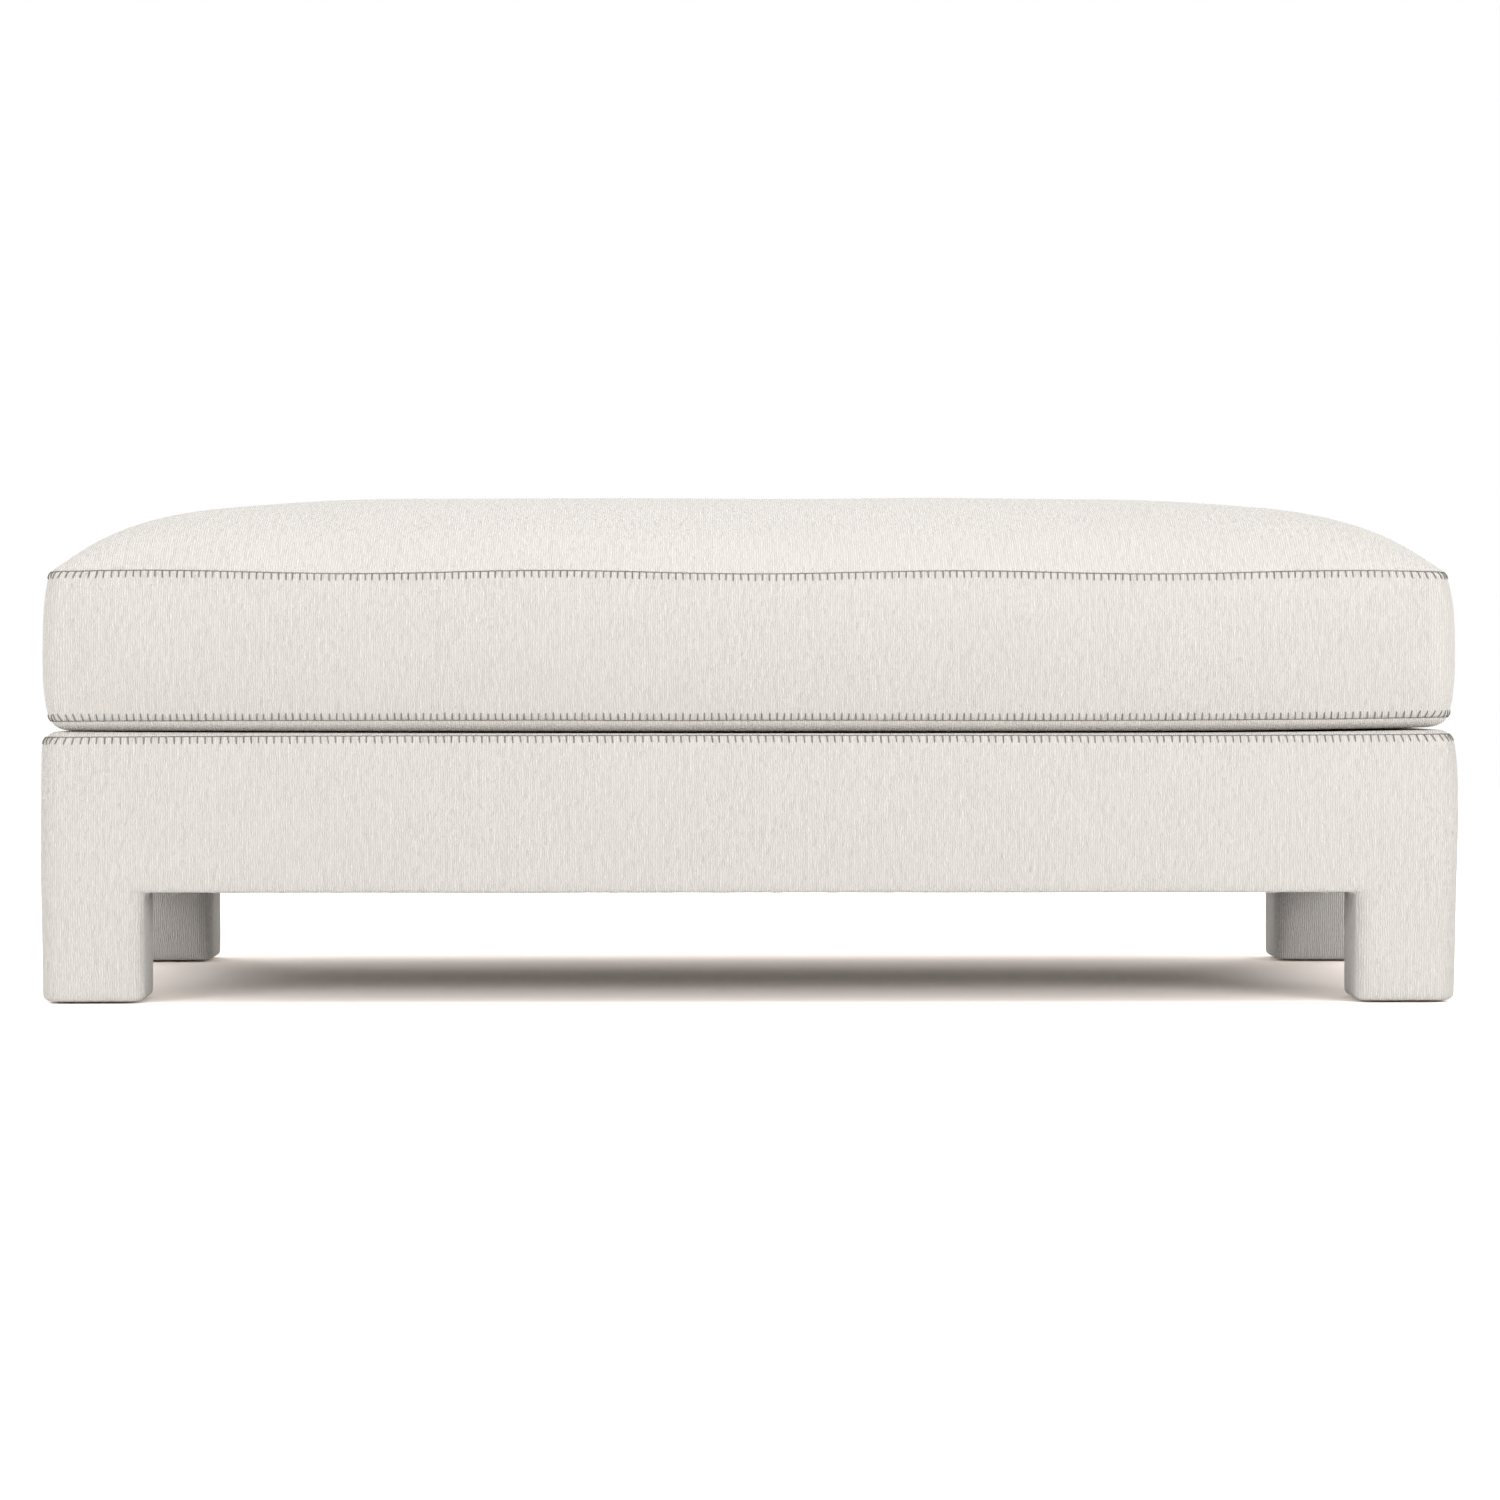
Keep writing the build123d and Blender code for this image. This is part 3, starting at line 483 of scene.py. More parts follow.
def weave_group():
    """Cloth of thin upright ribs that rise and sink in dashes: a height, a mask of painted shade for its
    hollows and a slow random change of tone.
    """
    tree, given, out = new_group(
        "ribbed_weave", {"Rib pitch": 2.4 * MM, "Cross pitch": 0.9 * MM, "Unevenness": 1.0},
        ("Height", "Hollow", "Shade"))
    place = given["Vector"]
    sideways, up, _ = add_node(tree, "ShaderNodeSeparateXYZ", {0: place}).outputs

    def wave(phase):
        turn = maths(tree, "MULTIPLY", phase, 2 * math.pi)
        return maths(tree, "MULTIPLY_ADD", maths(tree, "COSINE", turn), 0.5, 0.5)

    # The ribs wander sideways
    drift = noise_value(tree, stretched(tree, place, (170.0, 85.0, 170.0)), 1.0, 1.0)
    wander = maths(tree, "MULTIPLY", maths(tree, "SUBTRACT", drift, 0.5), 1.2)
    wander = maths(tree, "MULTIPLY", wander, given["Unevenness"])
    rib_place = maths(tree, "ADD", maths(tree, "DIVIDE", sideways, given["Rib pitch"]), wander)
    rib = wave(rib_place)
    rib_number = maths(tree, "FLOOR", maths(tree, "ADD", rib_place, 0.5))

    # Each rib breaks up into dashes of its own
    own_place = add_node(tree, "ShaderNodeCombineXYZ",
                         {0: maths(tree, "MULTIPLY", rib_number, 3.7),
                          1: maths(tree, "MULTIPLY", up, 210.0),
                          2: maths(tree, "MULTIPLY", rib_number, 1.3)}).outputs[0]
    dash = ranged(tree, noise_value(tree, own_place, 1.0, 2.0), 0.40, 0.57)
    dash = maths(tree, "MULTIPLY", dash, given["Unevenness"])

    # Cross yarns lie half a step apart on ribs next to each other
    half_step = maths(tree, "MULTIPLY", rib_number, 0.5)
    cross = wave(maths(tree, "ADD", maths(tree, "DIVIDE", up, given["Cross pitch"]), half_step))
    height = maths(tree, "MULTIPLY", rib, maths(tree, "MULTIPLY_ADD", dash, 0.55, 0.25))
    height = maths(tree, "MULTIPLY_ADD", maths(tree, "MULTIPLY", cross, rib), 0.10, height)
    fuzz = noise_value(tree, stretched(tree, place, (520.0, 230.0, 520.0)), 1.0, 3.0)
    height = maths(tree, "MULTIPLY_ADD", fuzz, 0.24, height)
    tree.links.new(height, out["Height"])
    # Painted shade: the lower the weave, the more it takes the shade colour, as though its hollows were in
    # shade
    tree.links.new(ranged(tree, height, 0.80, 0.12), out["Hollow"])
    tree.links.new(noise_value(tree, place, 11.0, 3.0), out["Shade"])
    return tree


def fibre_group():
    """Fine soft speckle for felt, foam and pressed cloth: a height and a shade."""
    tree, given, out = new_group("fine_fibres", {"Grain": 900.0}, ("Height", "Shade"))
    fine = noise_value(tree, given["Vector"], given["Grain"], 3.0)
    spots = add_node(tree, "ShaderNodeTexVoronoi",
                     {"Vector": given["Vector"], "Scale": given["Grain"]}).outputs["Distance"]
    slow = noise_value(tree, given["Vector"], 30.0, 4.0)
    tree.links.new(maths(tree, "ADD", fine, spots), out["Height"])
    tree.links.new(maths(tree, "MULTIPLY_ADD", fine, 0.5, slow), out["Shade"])
    return tree


def grain_group():
    """Wood grain along X: a shade of the rings, fine pores and a height."""
    tree, given, out = new_group("wood_grain", {}, ("Rings", "Pores", "Height"))
    long = stretched(tree, given["Vector"], (0.6, 9.0, 9.0))
    bend = add_node(tree, "ShaderNodeTexNoise", {"Vector": long, "Scale": 2.4, "Detail": 3.0})
    bent = add_node(tree, "ShaderNodeVectorMath", {0: long, 1: bend.outputs["Color"]}, operation="ADD")
    rings = add_node(tree, "ShaderNodeTexWave",
                     {"Vector": bent.outputs[0], "Scale": 4.2, "Distortion": 3.2, "Detail": 2.0},
                     wave_type="RINGS", rings_direction="X").outputs["Fac"]
    pores = noise_value(tree, stretched(tree, given["Vector"], (14.0, 620.0, 620.0)), 1.0, 2.0)
    tree.links.new(rings, out["Rings"])
    tree.links.new(pores, out["Pores"])
    tree.links.new(maths(tree, "MULTIPLY_ADD", rings, 0.4, pores), out["Height"])
    return tree


def wear_group():
    """Rubbed patches and fine scratches on metal and plastic: a mask and a height."""
    tree, given, out = new_group("light_wear", {"Scale": 60.0}, ("Patches", "Height"))
    patches = noise_value(tree, given["Vector"], given["Scale"], 5.0, Roughness=0.6)
    fine = noise_value(tree, given["Vector"], 1400.0, 2.0)
    tree.links.new(patches, out["Patches"])
    tree.links.new(maths(tree, "MULTIPLY_ADD", patches, 0.5, fine), out["Height"])
    return tree


def place_group(tree, group, vector, **values):
    """Places a group on a vector with its own values, and gives back its outputs."""
    node = tree.nodes.new("ShaderNodeGroup")
    node.node_tree = group
    tree.links.new(vector, node.inputs["Vector"])
    for key, value in values.items():
        node.inputs[key.replace("_", " ")].default_value = value
    return node.outputs


def finish_material(tree, colour, height, distance, roughness, metallic=0.0, sheen=0.0):
    """The surface shader with its colour, bump and roughness."""
    bump = add_node(tree, "ShaderNodeBump", {"Height": height, "Distance": distance, "Strength": 1.0})
    surface = add_node(tree, "ShaderNodeBsdfPrincipled",
                       {"Base Color": colour, "Normal": bump.outputs[0], "Roughness": roughness,
                        "Metallic": metallic, "Sheen Weight": sheen})
    add_node(tree, "ShaderNodeOutputMaterial", {"Surface": surface.outputs[0]})


def cloth_material(name, groups, light, shade, rib, cross, bump, unevenness=1.0, uv=True):
    """Woven cloth on the piece's own cloth map, or on its place where uv is off, with painted shade in the
    hollows of its weave.
    """
    material, tree = new_tree(name)
    vector = add_node(tree, "ShaderNodeUVMap", uv_map="cloth").outputs[0] if uv else object_place(tree)
    weave = place_group(tree, groups["weave"], vector, Rib_pitch=rib, Cross_pitch=cross,
                        Unevenness=unevenness)
    # The weave's hollows take the shade colour: painted shade
    colour = blended(tree, weave["Hollow"], light, shade)
    colour = shaded(tree, colour, ranged(tree, weave["Shade"], 0.3, 0.7, 0.99, 1.005))
    rough = ranged(tree, weave["Height"], 0.0, 1.0, 0.98, 0.86)
    finish_material(tree, colour, weave["Height"], bump, rough, sheen=0.12)
    return material


def fibre_material(name, groups, light, dark, grain, bump, rough=0.95):
    """Felt, foam, thread or pressed cloth."""
    material, tree = new_tree(name)
    fibres = place_group(tree, groups["fibre"], object_place(tree), Grain=grain)
    colour = blended(tree, ranged(tree, fibres["Shade"], 0.4, 1.0), light, dark)
    roughness = ranged(tree, fibres["Shade"], 0.4, 1.0, rough - 0.08, rough)
    finish_material(tree, colour, fibres["Height"], bump, roughness)
    return material


def wood_material(name, groups, light, dark, turn):
    """Sawn wood with its grain along X, turned to the piece by turn."""
    material, tree = new_tree(name)
    grain = place_group(tree, groups["grain"], stretched(tree, object_place(tree), (1, 1, 1), turn))
    colour = blended(tree, grain["Rings"], light, dark)
    colour = shaded(tree, colour, ranged(tree, grain["Pores"], 0.35, 0.7, 0.82, 1.06))
    rough = ranged(tree, grain["Pores"], 0.3, 0.7, 0.72, 0.55)
    finish_material(tree, colour, grain["Height"], distance=0.3 * MM, roughness=rough)
    return material


def hard_material(name, groups, light, dark, metallic, smooth_rough, worn_rough, scale, bump):
    """Metal or plastic with rubbed patches."""
    material, tree = new_tree(name)
    wear = place_group(tree, groups["wear"], object_place(tree), Scale=scale)
    colour = blended(tree, ranged(tree, wear["Patches"], 0.35, 0.65), light, dark)
    rough = ranged(tree, wear["Patches"], 0.3, 0.7, smooth_rough, worn_rough)
    finish_material(tree, colour, wear["Height"], bump, rough, metallic=metallic)
    return material


def times(colour, by):
    """A colour made lighter or darker."""
    return tuple(channel * by for channel in colour)


def make_materials():
    """Every material by name."""
    colours = settings().ottoman_colours
    groups = {"weave": weave_group(), "fibre": fibre_group(), "grain": grain_group(), "wear": wear_group()}
    frame_wood = ((0.56, 0.38, 0.20), (0.40, 0.245, 0.12))
    along_x = (0, 0, 0)
    along_y = (0, 0, math.pi / 2)
    along_z = (0, math.pi / 2, 0)

    # Light colour and the painted shade colour of the weave's hollows, distance between ribs and between
    # cross yarns, bump, and unevenness
    cloths = {
        "cover_cloth": (colours.cloth, colours.cloth_hollow_shade, 2.3 * MM, 0.9 * MM, 1.0 * MM),
        "deck_cloth": (colours.deck, times(colours.deck, 0.8), 0.9 * MM, 0.6 * MM, 0.12 * MM, 0.25),
        "zip_tape": ((0.70, 0.67, 0.61), (0.58, 0.55, 0.50), 0.8 * MM, 0.45 * MM, 0.1 * MM, 0.1, False),
    }
    # Light and dark colour, grain, bump, and roughness
    fibres = {
        "grey_thread": (colours.thread, times(colours.thread, 1.9), 1700.0, 0.1 * MM),
        "dust_cloth": (colours.dust_cloth, times(colours.dust_cloth, 1.8), 700.0, 0.1 * MM, 0.9),
        "felt": ((0.33, 0.32, 0.31), (0.46, 0.44, 0.42), 500.0, 0.3 * MM),
        "pad_foam": ((0.86, 0.80, 0.60), (0.80, 0.72, 0.50), 420.0, 0.25 * MM),
    }
    # Light and dark colour, and the turn of the grain
    woods = {
        "frame_wood_x": (*frame_wood, along_x),
        "frame_wood_y": (*frame_wood, along_y),
        "frame_wood_z": (*frame_wood, along_z),
        "dowel_wood": ((0.66, 0.48, 0.28), (0.55, 0.37, 0.19), along_x),
    }
    # Light and dark colour, metallic, roughness where smooth and where worn, size of the wear, and bump
    hard = {
        "zinc_plated_steel": ((0.60, 0.60, 0.58), (0.50, 0.49, 0.45), 1.0, 0.32, 0.5, 90.0, 0.03 * MM),
        "spring_wire": ((0.045, 0.045, 0.05), (0.11, 0.10, 0.09), 1.0, 0.35, 0.55, 45.0, 0.03 * MM),
        "tie_wire": ((0.42, 0.31, 0.18), (0.34, 0.24, 0.13), 0.0, 0.7, 0.9, 300.0, 0.1 * MM),
        "glide_plastic": ((0.026, 0.026, 0.028), (0.06, 0.058, 0.055), 0.0, 0.4, 0.65, 120.0, 0.03 * MM),
        "zip_coil": ((0.66, 0.63, 0.57), (0.60, 0.57, 0.51), 0.0, 0.38, 0.55, 200.0, 0.02 * MM),
        "nickel": ((0.62, 0.59, 0.54), (0.50, 0.47, 0.42), 1.0, 0.2, 0.42, 150.0, 0.02 * MM),
    }
    materials = {}
    for make, looks in ((cloth_material, cloths), (fibre_material, fibres), (wood_material, woods),
                        (hard_material, hard)):
        for name, values in looks.items():
            materials[name] = make(name, groups, *values)
    return materials


# Soft forms

# Places close to the cushion's edges, where its cells are finer
near_edge = (0.0, 2.2 * MM, 6 * MM, 11 * MM, 18 * MM)

# The right front corner curls up, from curl_start right of the middle and over curl_run
curl_start = 0.36
curl_run = 0.33

# The wander of the seams: length of a wave, small unevenness, and how far the cushion's weight presses
seam_wave_length = 0.406
top_unevenness = 0.8 * MM
bottom_unevenness = 0.7 * MM
edge_press = 1.2 * MM

# How far outside the cover a search for its surface starts
outside = 30 * MM

side_names = ("front", "back", "left", "right")
corner_names = ("front_left", "front_right", "back_left", "back_right")


def within(value):
    """A value kept between 0 and 1."""
    return min(max(value, 0.0), 1.0)


def cloud(x, y, z):
    """Smooth noise between -1 and 1 at a place."""
    return noise(Vector((x, y, z)))


def curl(x, y):
    """Share of the right front corner's curl at a place."""
    return within((x - curl_start) / curl_run) ** 2 * (0.5 - 0.5 * y / half_depth)


def pressed(x):
    """Share of the cushion's weight that bears on the edge at a place along the table."""
    return max(math.cos(math.pi / 2 * x / half_width), 0) ** 0.5


def seam_height(x, y, top):
    """The wander of the cushion's seams up and down."""
    sizes = settings().ottoman_cushion
    if top:
        wave = math.cos(2 * math.pi * x / seam_wave_length)
        return -sizes.seam_wave * wave + top_unevenness * cloud(x * 3, y * 3, 7)
    lift = sizes.corner_lift * curl(x, y) + edge_press * pressed(x)
    return lift + bottom_unevenness * cloud(x * 5, y * 5, 2)


def cushion_piece(materials):
    """The cushion: one closed cover, swollen by its filling, drawn in along its seams."""
    sizes = settings().ottoman_cushion
    half_x, half_y = crown_high.x + sizes.spread, crown_high.y
    low, top, peak = boxing_low.z, crown_low.z, crown_high.z
    xs = axis_places(half_x, near_edge, sizes.cell)
    ys = axis_places(half_y, near_edge, sizes.cell)
    levels = axis_places((top - low) / 2, near_edge, sizes.cell)
    counts = (len(xs) - 1, len(ys) - 1, len(levels) - 1)
    zip_rows = [k for k, level in enumerate(levels) if abs(level) < sizes.cell * 1.2]
    crown_round_share = 0.96
    settled_share = 0.4
    underside_run = 18 * MM
    curl_reach = 0.16
    press_reach = 0.06
    rest_height = cushion_bottom + 0.1 * MM
    zip_y = zip_low.y - 0.5 * MM

    def lean(x):
        return sizes.lean * max(x / half_x, 0) ** 4

    def crown_place(x, y, inset):
        share = inset / half_y
        grown = crown_round_share * (half_y - inset) - sizes.corner_radius
        radius = crown_corner(share) * grown + sizes.corner_radius
        x, y = round_corners(x, y, half_x, half_y, lambda _: radius)
        z = top + (peak - sizes.crown_slack - top) * crown_rise(share)
        return x - lean(x), y, z + seam_height(x, y, True) * (1 - share)

    def underside_place(x, y, inset):
        x, y = round_corners(x, y, half_x, half_y, lambda d: max(sizes.corner_radius - d, 0))
        fall = math.sin(min(inset / underside_run, 1) * math.pi / 2) ** 0.8
        level = rest_height + sizes.corner_lift * curl(x, y) * max(1 - inset / curl_reach, 0)
        level -= edge_press * pressed(x) * max(1 - inset / press_reach, 0)
        return x, y, (low + seam_height(x, y, False)) * (1 - fall) + level * fall

    def side_place(x, y, level, over_zip):
        share = level / levels[-1]
        out = sizes.bulge * (1 - abs(share) ** 3) - settled_share * sizes.swell * (1 - share ** 2)
        grown_x, grown_y = x * (half_x + out) / half_x, y * (half_y + out) / half_y
        x, y = round_corners(grown_x, grown_y, half_x + out, half_y + out,
                             lambda _: sizes.corner_radius + out)
        up = (share + 1) / 2
        x -= lean(x) * up ** 3
        if over_zip and abs(x) < strip_half + sizes.cell / 2:
            return x, zip_y, (low + top) / 2 + level
        z = low + up * (top - low)
        return x, y, z + up * seam_height(x, y, True) + (1 - up) * seam_height(x, y, False)

    def place(i, j, k):
        x, y = xs[i], ys[j]
        inset = min(half_x - abs(x), half_y - abs(y))
        if k == counts[2]:
            return crown_place(x, y, inset)
        if k == 0:
            return underside_place(x, y, inset)
        return side_place(x, y, levels[k], j == counts[1] and k in zip_rows)

    def ring(i, j):
        return min(i, counts[0] - i, j, counts[1] - j)

    cushion, nodes = lattice_skin("cushion", counts, place)
    rings = [ring(i, j) for i, j, _ in nodes]
    seams = [index for index, (_, _, k) in enumerate(nodes) if k in (0, counts[2]) and rings[index] == 0]
    resting = [index for index, (_, j, k) in enumerate(nodes)
               if (k == 0 and rings[index] > 2) or (j == counts[1] and k in zip_rows)]
    ridge = [index for index, (_, _, k) in enumerate(nodes) if k == counts[2] and rings[index] == 2]
    fill_cover(cushion, seams + resting)
    draw_in_seams(cushion, seams, ridge, sizes.seam_depth)
    apply_modifier(cushion, "SUBSURF", levels=1, render_levels=1)
    pucker(cushion, low, top)
    lay_cloth(cushion, half_x, half_y, sizes.corner_radius)
    smooth(cushion)
    dress(cushion, "cushion", "cover_cloth", materials)
    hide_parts("cushion_top_panel", "cushion_boxing", "zip_boxing_upper", "zip_boxing_lower",
                "cushion_bottom_panel", "cushion_foam_core", "fibre_crown", "fibre_underlay")
    return cushion


def fill_cover(piece, held):
    """Swells a cover with its filling by a cloth simulation, and caps how far it moves."""
    sizes = settings().ottoman_cushion
    start = points_of(piece)
    group = piece.vertex_groups.new(name="held")
    group.add(held, 1.0, "REPLACE")
    modifier = piece.modifiers.new("cloth", "CLOTH")
    cloth = modifier.settings
    cloth.quality = 5
    cloth.mass = 0.3
    cloth.tension_stiffness = 12
    cloth.compression_stiffness = 12
    cloth.bending_stiffness = 0.6
    cloth.use_pressure = True
    cloth.uniform_pressure_force = sizes.pressure
    cloth.effector_weights.gravity = 0
    cloth.vertex_group_mass = "held"
    modifier.collision_settings.use_collision = False
    scene = bpy.context.scene
    for moment in range(1, sizes.sim_frames + 1):
        scene.frame_set(moment)
    moved = points_of(piece.evaluated_get(bpy.context.evaluated_depsgraph_get())) - start
    piece.modifiers.remove(modifier)
    scene.frame_set(1)
    piece.vertex_groups.clear()
    far = np.linalg.norm(moved, axis=1, keepdims=True)
    print("filling moved the cover by", float(far.max()), "at most,", float(far.mean()), "on average")
    capped = sizes.swell * np.tanh(far / sizes.swell)
    move_points(piece, start + moved * capped / np.maximum(far, 1e-9))


def draw_in_seams(piece, seams, ridge, depth):
    """Pulls the points of the seams in, and raises the cloth a little in places beyond the top seam."""
    ridge_height = 0.8 * MM
    points = points_of(piece)
    normals = normals_of(piece)
    for index in seams:
        points[index] -= depth * normals[index]
    for index in ridge:
        x, y, _ = points[index]
        points[index] += ridge_height * max(0.5 + 0.8 * cloud(x * 9, y * 9, 4), 0) * normals[index]
    move_points(piece, points)


def pucker(piece, low, top):
    """Small unevenness of the cover, most of all close to the seams."""
    gather_height = 0.9 * MM
    gather_reach = 22 * MM
    gather_from = 3 * MM
    slow_height = 1.1 * MM
    slow_from = 20 * MM
    underside = low - 2 * MM
    points = points_of(piece)
    normals = normals_of(piece)
    for index, (x, y, z) in enumerate(points):
        if z < underside:
            continue
        from_seam = min(abs(z - low), abs(z - top))
        near = math.exp(-from_seam / gather_reach) * min(from_seam / gather_from, 1)
        far = min(from_seam / slow_from, 1)
        gathers = gather_height * near * cloud(x * 26, y * 26, z * 7)
        slow = slow_height * cloud(x * 5.5, y * 5.5, z * 9 + 3) * far
        points[index] += normals[index] * (gathers + slow)
    move_points(piece, points)


def zip_pieces(materials):
    """The folded strips on both sides of the zip, the tabs at its ends, and the two rows of the coil."""
    sizes = settings().ottoman_zip
    middle = (strip_low + strip_high) / 2
    slot_half = (strip_high - strip_low) / 2
    strip_clearance = 0.1 * MM
    tab_thick = 1.6 * MM
    tab_overlap = 2 * MM
    bar_angle = 50

    def cloth_bar(name, place, scale, bevel, segments):
        bpy.ops.mesh.primitive_cube_add(size=1, location=place, scale=scale)
        bar = added(name)
        apply_modifier(bar, "BEVEL", width=bevel, segments=segments)
        return bar

    def finish_cloth(piece):
        lay_cloth(piece, crown_high.x, crown_high.y, settings().ottoman_cushion.corner_radius)
        smooth(piece, angle=bar_angle)
        dress(piece, "cushion", "cover_cloth", materials)

    strip_y = zip_high.y + sizes.strip_proud - sizes.strip_thick / 2
    for side, name in ((-1, "zip_strip_lower"), (1, "zip_strip_upper")):
        strip_z = middle + side * (slot_half + strip_clearance + sizes.strip_wide / 2)
        finish_cloth(cloth_bar(name, (0, strip_y, strip_z),
                               (2 * strip_half, sizes.strip_thick, sizes.strip_wide),
                               bevel=sizes.strip_thick * 0.45, segments=3))

    tab_length = strip_half - zip_high.x
    tab_scale = (tab_length, tab_thick, 2 * slot_half + tab_overlap)
    tab_x = zip_high.x + tab_length / 2
    tabs = [cloth_bar("zip_tab", (side * tab_x, zip_high.y, middle), tab_scale, bevel=0.6 * MM, segments=2)
            for side in (-1, 1)]
    finish_cloth(join("zip_tabs", tabs))

    reach = slot_half - sizes.split / 2
    count = round((zip_high.x - zip_low.x) / sizes.coil_pitch)
    pitch = (zip_high.x - zip_low.x) / count
    rows = []
    for side in (-1, 1):
        bpy.ops.mesh.primitive_cylinder_add(
            vertices=8, radius=0.5, depth=1,
            location=(zip_low.x + pitch / 2, (zip_low.y + zip_high.y) / 2,
                      middle + side * (sizes.split / 2 + reach / 2)),
            scale=(pitch * 0.86, zip_high.y - zip_low.y, reach))
        coil = added("zip_coil")
        bevel_all(0.3 * MM)
        apply_modifier(coil, "ARRAY", count=count, use_relative_offset=False, use_constant_offset=True,
                       constant_offset_displace=(pitch, 0, 0))
        rows.append(coil)
    chain = join("zip_coils", rows)
    smooth(chain, angle=35)
    dress(chain, "cushion", "zip_coil", materials)
    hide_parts("zip_chain")


# The base's top edge rises with the curl, gives under the cushion's weight and sinks to the left
base_curl = 1.8 * MM
base_give = 0.9 * MM
base_left_dip = 1.2 * MM


def base_seam_shift(x, y):
    """How far the base's top seam stands above or below its level."""
    return base_curl * curl(x, y) + base_give * pressed(x) - base_left_dip * max(-x / half_width, 0) ** 2


def right_shoulder(x, z):
    """How far the cover draws in towards the top edge of the right end."""
    end_run = 60 * MM
    full_run = 40 * MM
    height = 42 * MM
    out = within((x - half_width + end_run) / full_run)
    up = within((z - deck_top + height) / height)
    return settings().ottoman_base.shoulder * out ** 2 * (1 - math.sqrt(1 - up ** 2) * (1 - 0.3 * up))


def base_wrap_piece(materials):
    """The base's cover with the padding under it: four sides, the legs and the edge turned under."""
    sizes = settings().ottoman_base
    inner = sizes.edge_radius * 1.6
    seam_rise = 0.2 * MM
    turned_in = 3.5 * MM
    leg_width = leg_size + sizes.leg_swell
    near_corner = [0.0, sizes.corner_radius]
    near_leg = near_corner + steps_between(near_corner[-1], leg_width - inner, sizes.cell)
    near_leg += [leg_width, leg_width + inner]
    xs = axis_places(half_width, near_leg, sizes.cell)
    ys = axis_places(half_depth, near_leg, sizes.cell)

    # Levels from the feet to the roll along the top edge, and the edge turned under at the seam
    side_from = apron_bottom + inner
    roll_start = deck_top - sizes.roll_radius
    seam_turn = math.asin((base_seam - roll_start) / sizes.roll_radius)
    roll_turns = [seam_turn * share for share in (0.3, 0.6, 0.85, 1.0)]
    zs = [foot_bottom, foot_bottom + inner]
    zs += steps_between(foot_bottom + inner, apron_bottom - inner, sizes.cell)
    zs += [apron_bottom, side_from] + steps_between(side_from, roll_start, sizes.cell)
    insets = [0.0] * len(zs) + [sizes.roll_radius * (1 - math.cos(turn)) for turn in roll_turns]
    zs += [roll_start + sizes.roll_radius * math.sin(turn) for turn in roll_turns]
    zs.append(base_seam + seam_rise)
    insets.append(insets[-1] + turned_in)
    counts = (len(xs) - 1, len(ys) - 1, len(zs) - 1)

    def middle(places, index):
        return abs(places[index] + places[index + 1]) / 2

    def filled(i, j, k):
        leg = middle(xs, i) > half_width - leg_width and middle(ys, j) > half_depth - leg_width
        return leg or middle(zs, k) > apron_bottom

    flange_x = half_width - leg_size / 2
    flange_y = half_depth - leg_size / 2

    def shown(side, i, j, k):
        if side[2] < 0 and k > 0:
            return middle(xs, i) > flange_x or middle(ys, j) > flange_y
        return side[2] <= 0

    belly = apron_bottom * 1.6
    left_taper_share = 0.5

    def drawn_in(i, k):
        z = zs[k]
        if z < belly:
            return sizes.taper * (1 - z / belly) * (left_taper_share if xs[i] < -leg_inner_x else 1)
        return sizes.side_bulge * ((z - belly) / (deck_top - belly)) ** 2 + insets[k]

    def place(i, j, k):
        z = zs[k]
        x, y = round_corners(xs[i], ys[j], half_width, half_depth, lambda d: sizes.corner_radius - d)
        if abs(xs[i]) > leg_inner_x or abs(ys[j]) > leg_inner_y:
            drawn = drawn_in(i, k)
            reach_x = max(abs(x) - leg_inner_x, 0) / leg_size
            reach_y = max(abs(y) - leg_inner_y, 0) / leg_size
            x -= math.copysign(drawn * reach_x, x)
            y -= math.copysign(drawn * reach_y, y)
        inset = min(half_width - abs(xs[i]), half_depth - abs(ys[j]))
        if z == apron_bottom and inset > near_corner[-1] - 1 * MM:
            z += sizes.rebate
        if z > side_from:
            z += base_seam_shift(x, y) * min((z - side_from) / (roll_start - side_from), 1) ** 2
        return x - right_shoulder(x, zs[k]), y, z

    wrap, _ = lattice_skin("base_cover", counts, place, filled, shown)
    weigh_edges(wrap, level_share=0.4, below=side_from)
    apply_modifier(wrap, "BEVEL", width=sizes.edge_radius, segments=3, limit_method="WEIGHT")
    apply_modifier(wrap, "SUBSURF", levels=1, render_levels=1)
    soften(wrap)
    lay_cloth(wrap, half_width, half_depth, sizes.corner_radius)
    apply_modifier(wrap, "SOLIDIFY", thickness=sizes.padding, offset=-1, use_even_offset=False)
    smooth(wrap)
    dress(wrap, "table", "cover_cloth", materials)
    pads = [f"{corner}_leg_pad" for corner in corner_names] + [f"{side}_apron_pad" for side in side_names]
    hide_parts("base_wrap", "base_back_panel", *pads)
    return wrap


def back_seam_pieces(wrap, materials):
    """The lapped seams where the back panel meets the cover of the back legs."""
    sizes = settings().ottoman_base
    surface = surface_of(wrap)
    low, high = apron_bottom + 3 * MM, base_seam - 11 * MM
    rows = round((high - low) / sizes.cell)
    offsets = [sizes.lap * share for share in (-0.5, -0.42, 0.0, 0.42, 0.5)]
    stands = [-0.8 * MM, 0.5 * MM, 0.7 * MM, 0.5 * MM, -0.8 * MM]
    laps = []
    for end in (-1, 1):
        def place(i, _, k):
            start = Vector((end * leg_inner_x + offsets[i], half_depth + outside,
                            low + (high - low) * k / rows))
            hit, normal, _, _ = surface.ray_cast(start, Vector((0, -1, 0)))
            return hit + normal * stands[i]

        laps.append(lattice_skin("lap", (4, 1, rows), place, shown=lambda side, i, j, k: side[1] > 0)[0])
    laps = join("base_back_laps", laps)
    apply_modifier(laps, "SOLIDIFY", thickness=0.8 * MM, offset=-1)
    lay_cloth(laps, half_width, half_depth, sizes.corner_radius)
    smooth(laps, angle=50)
    dress(laps, "table", "cover_cloth", materials)


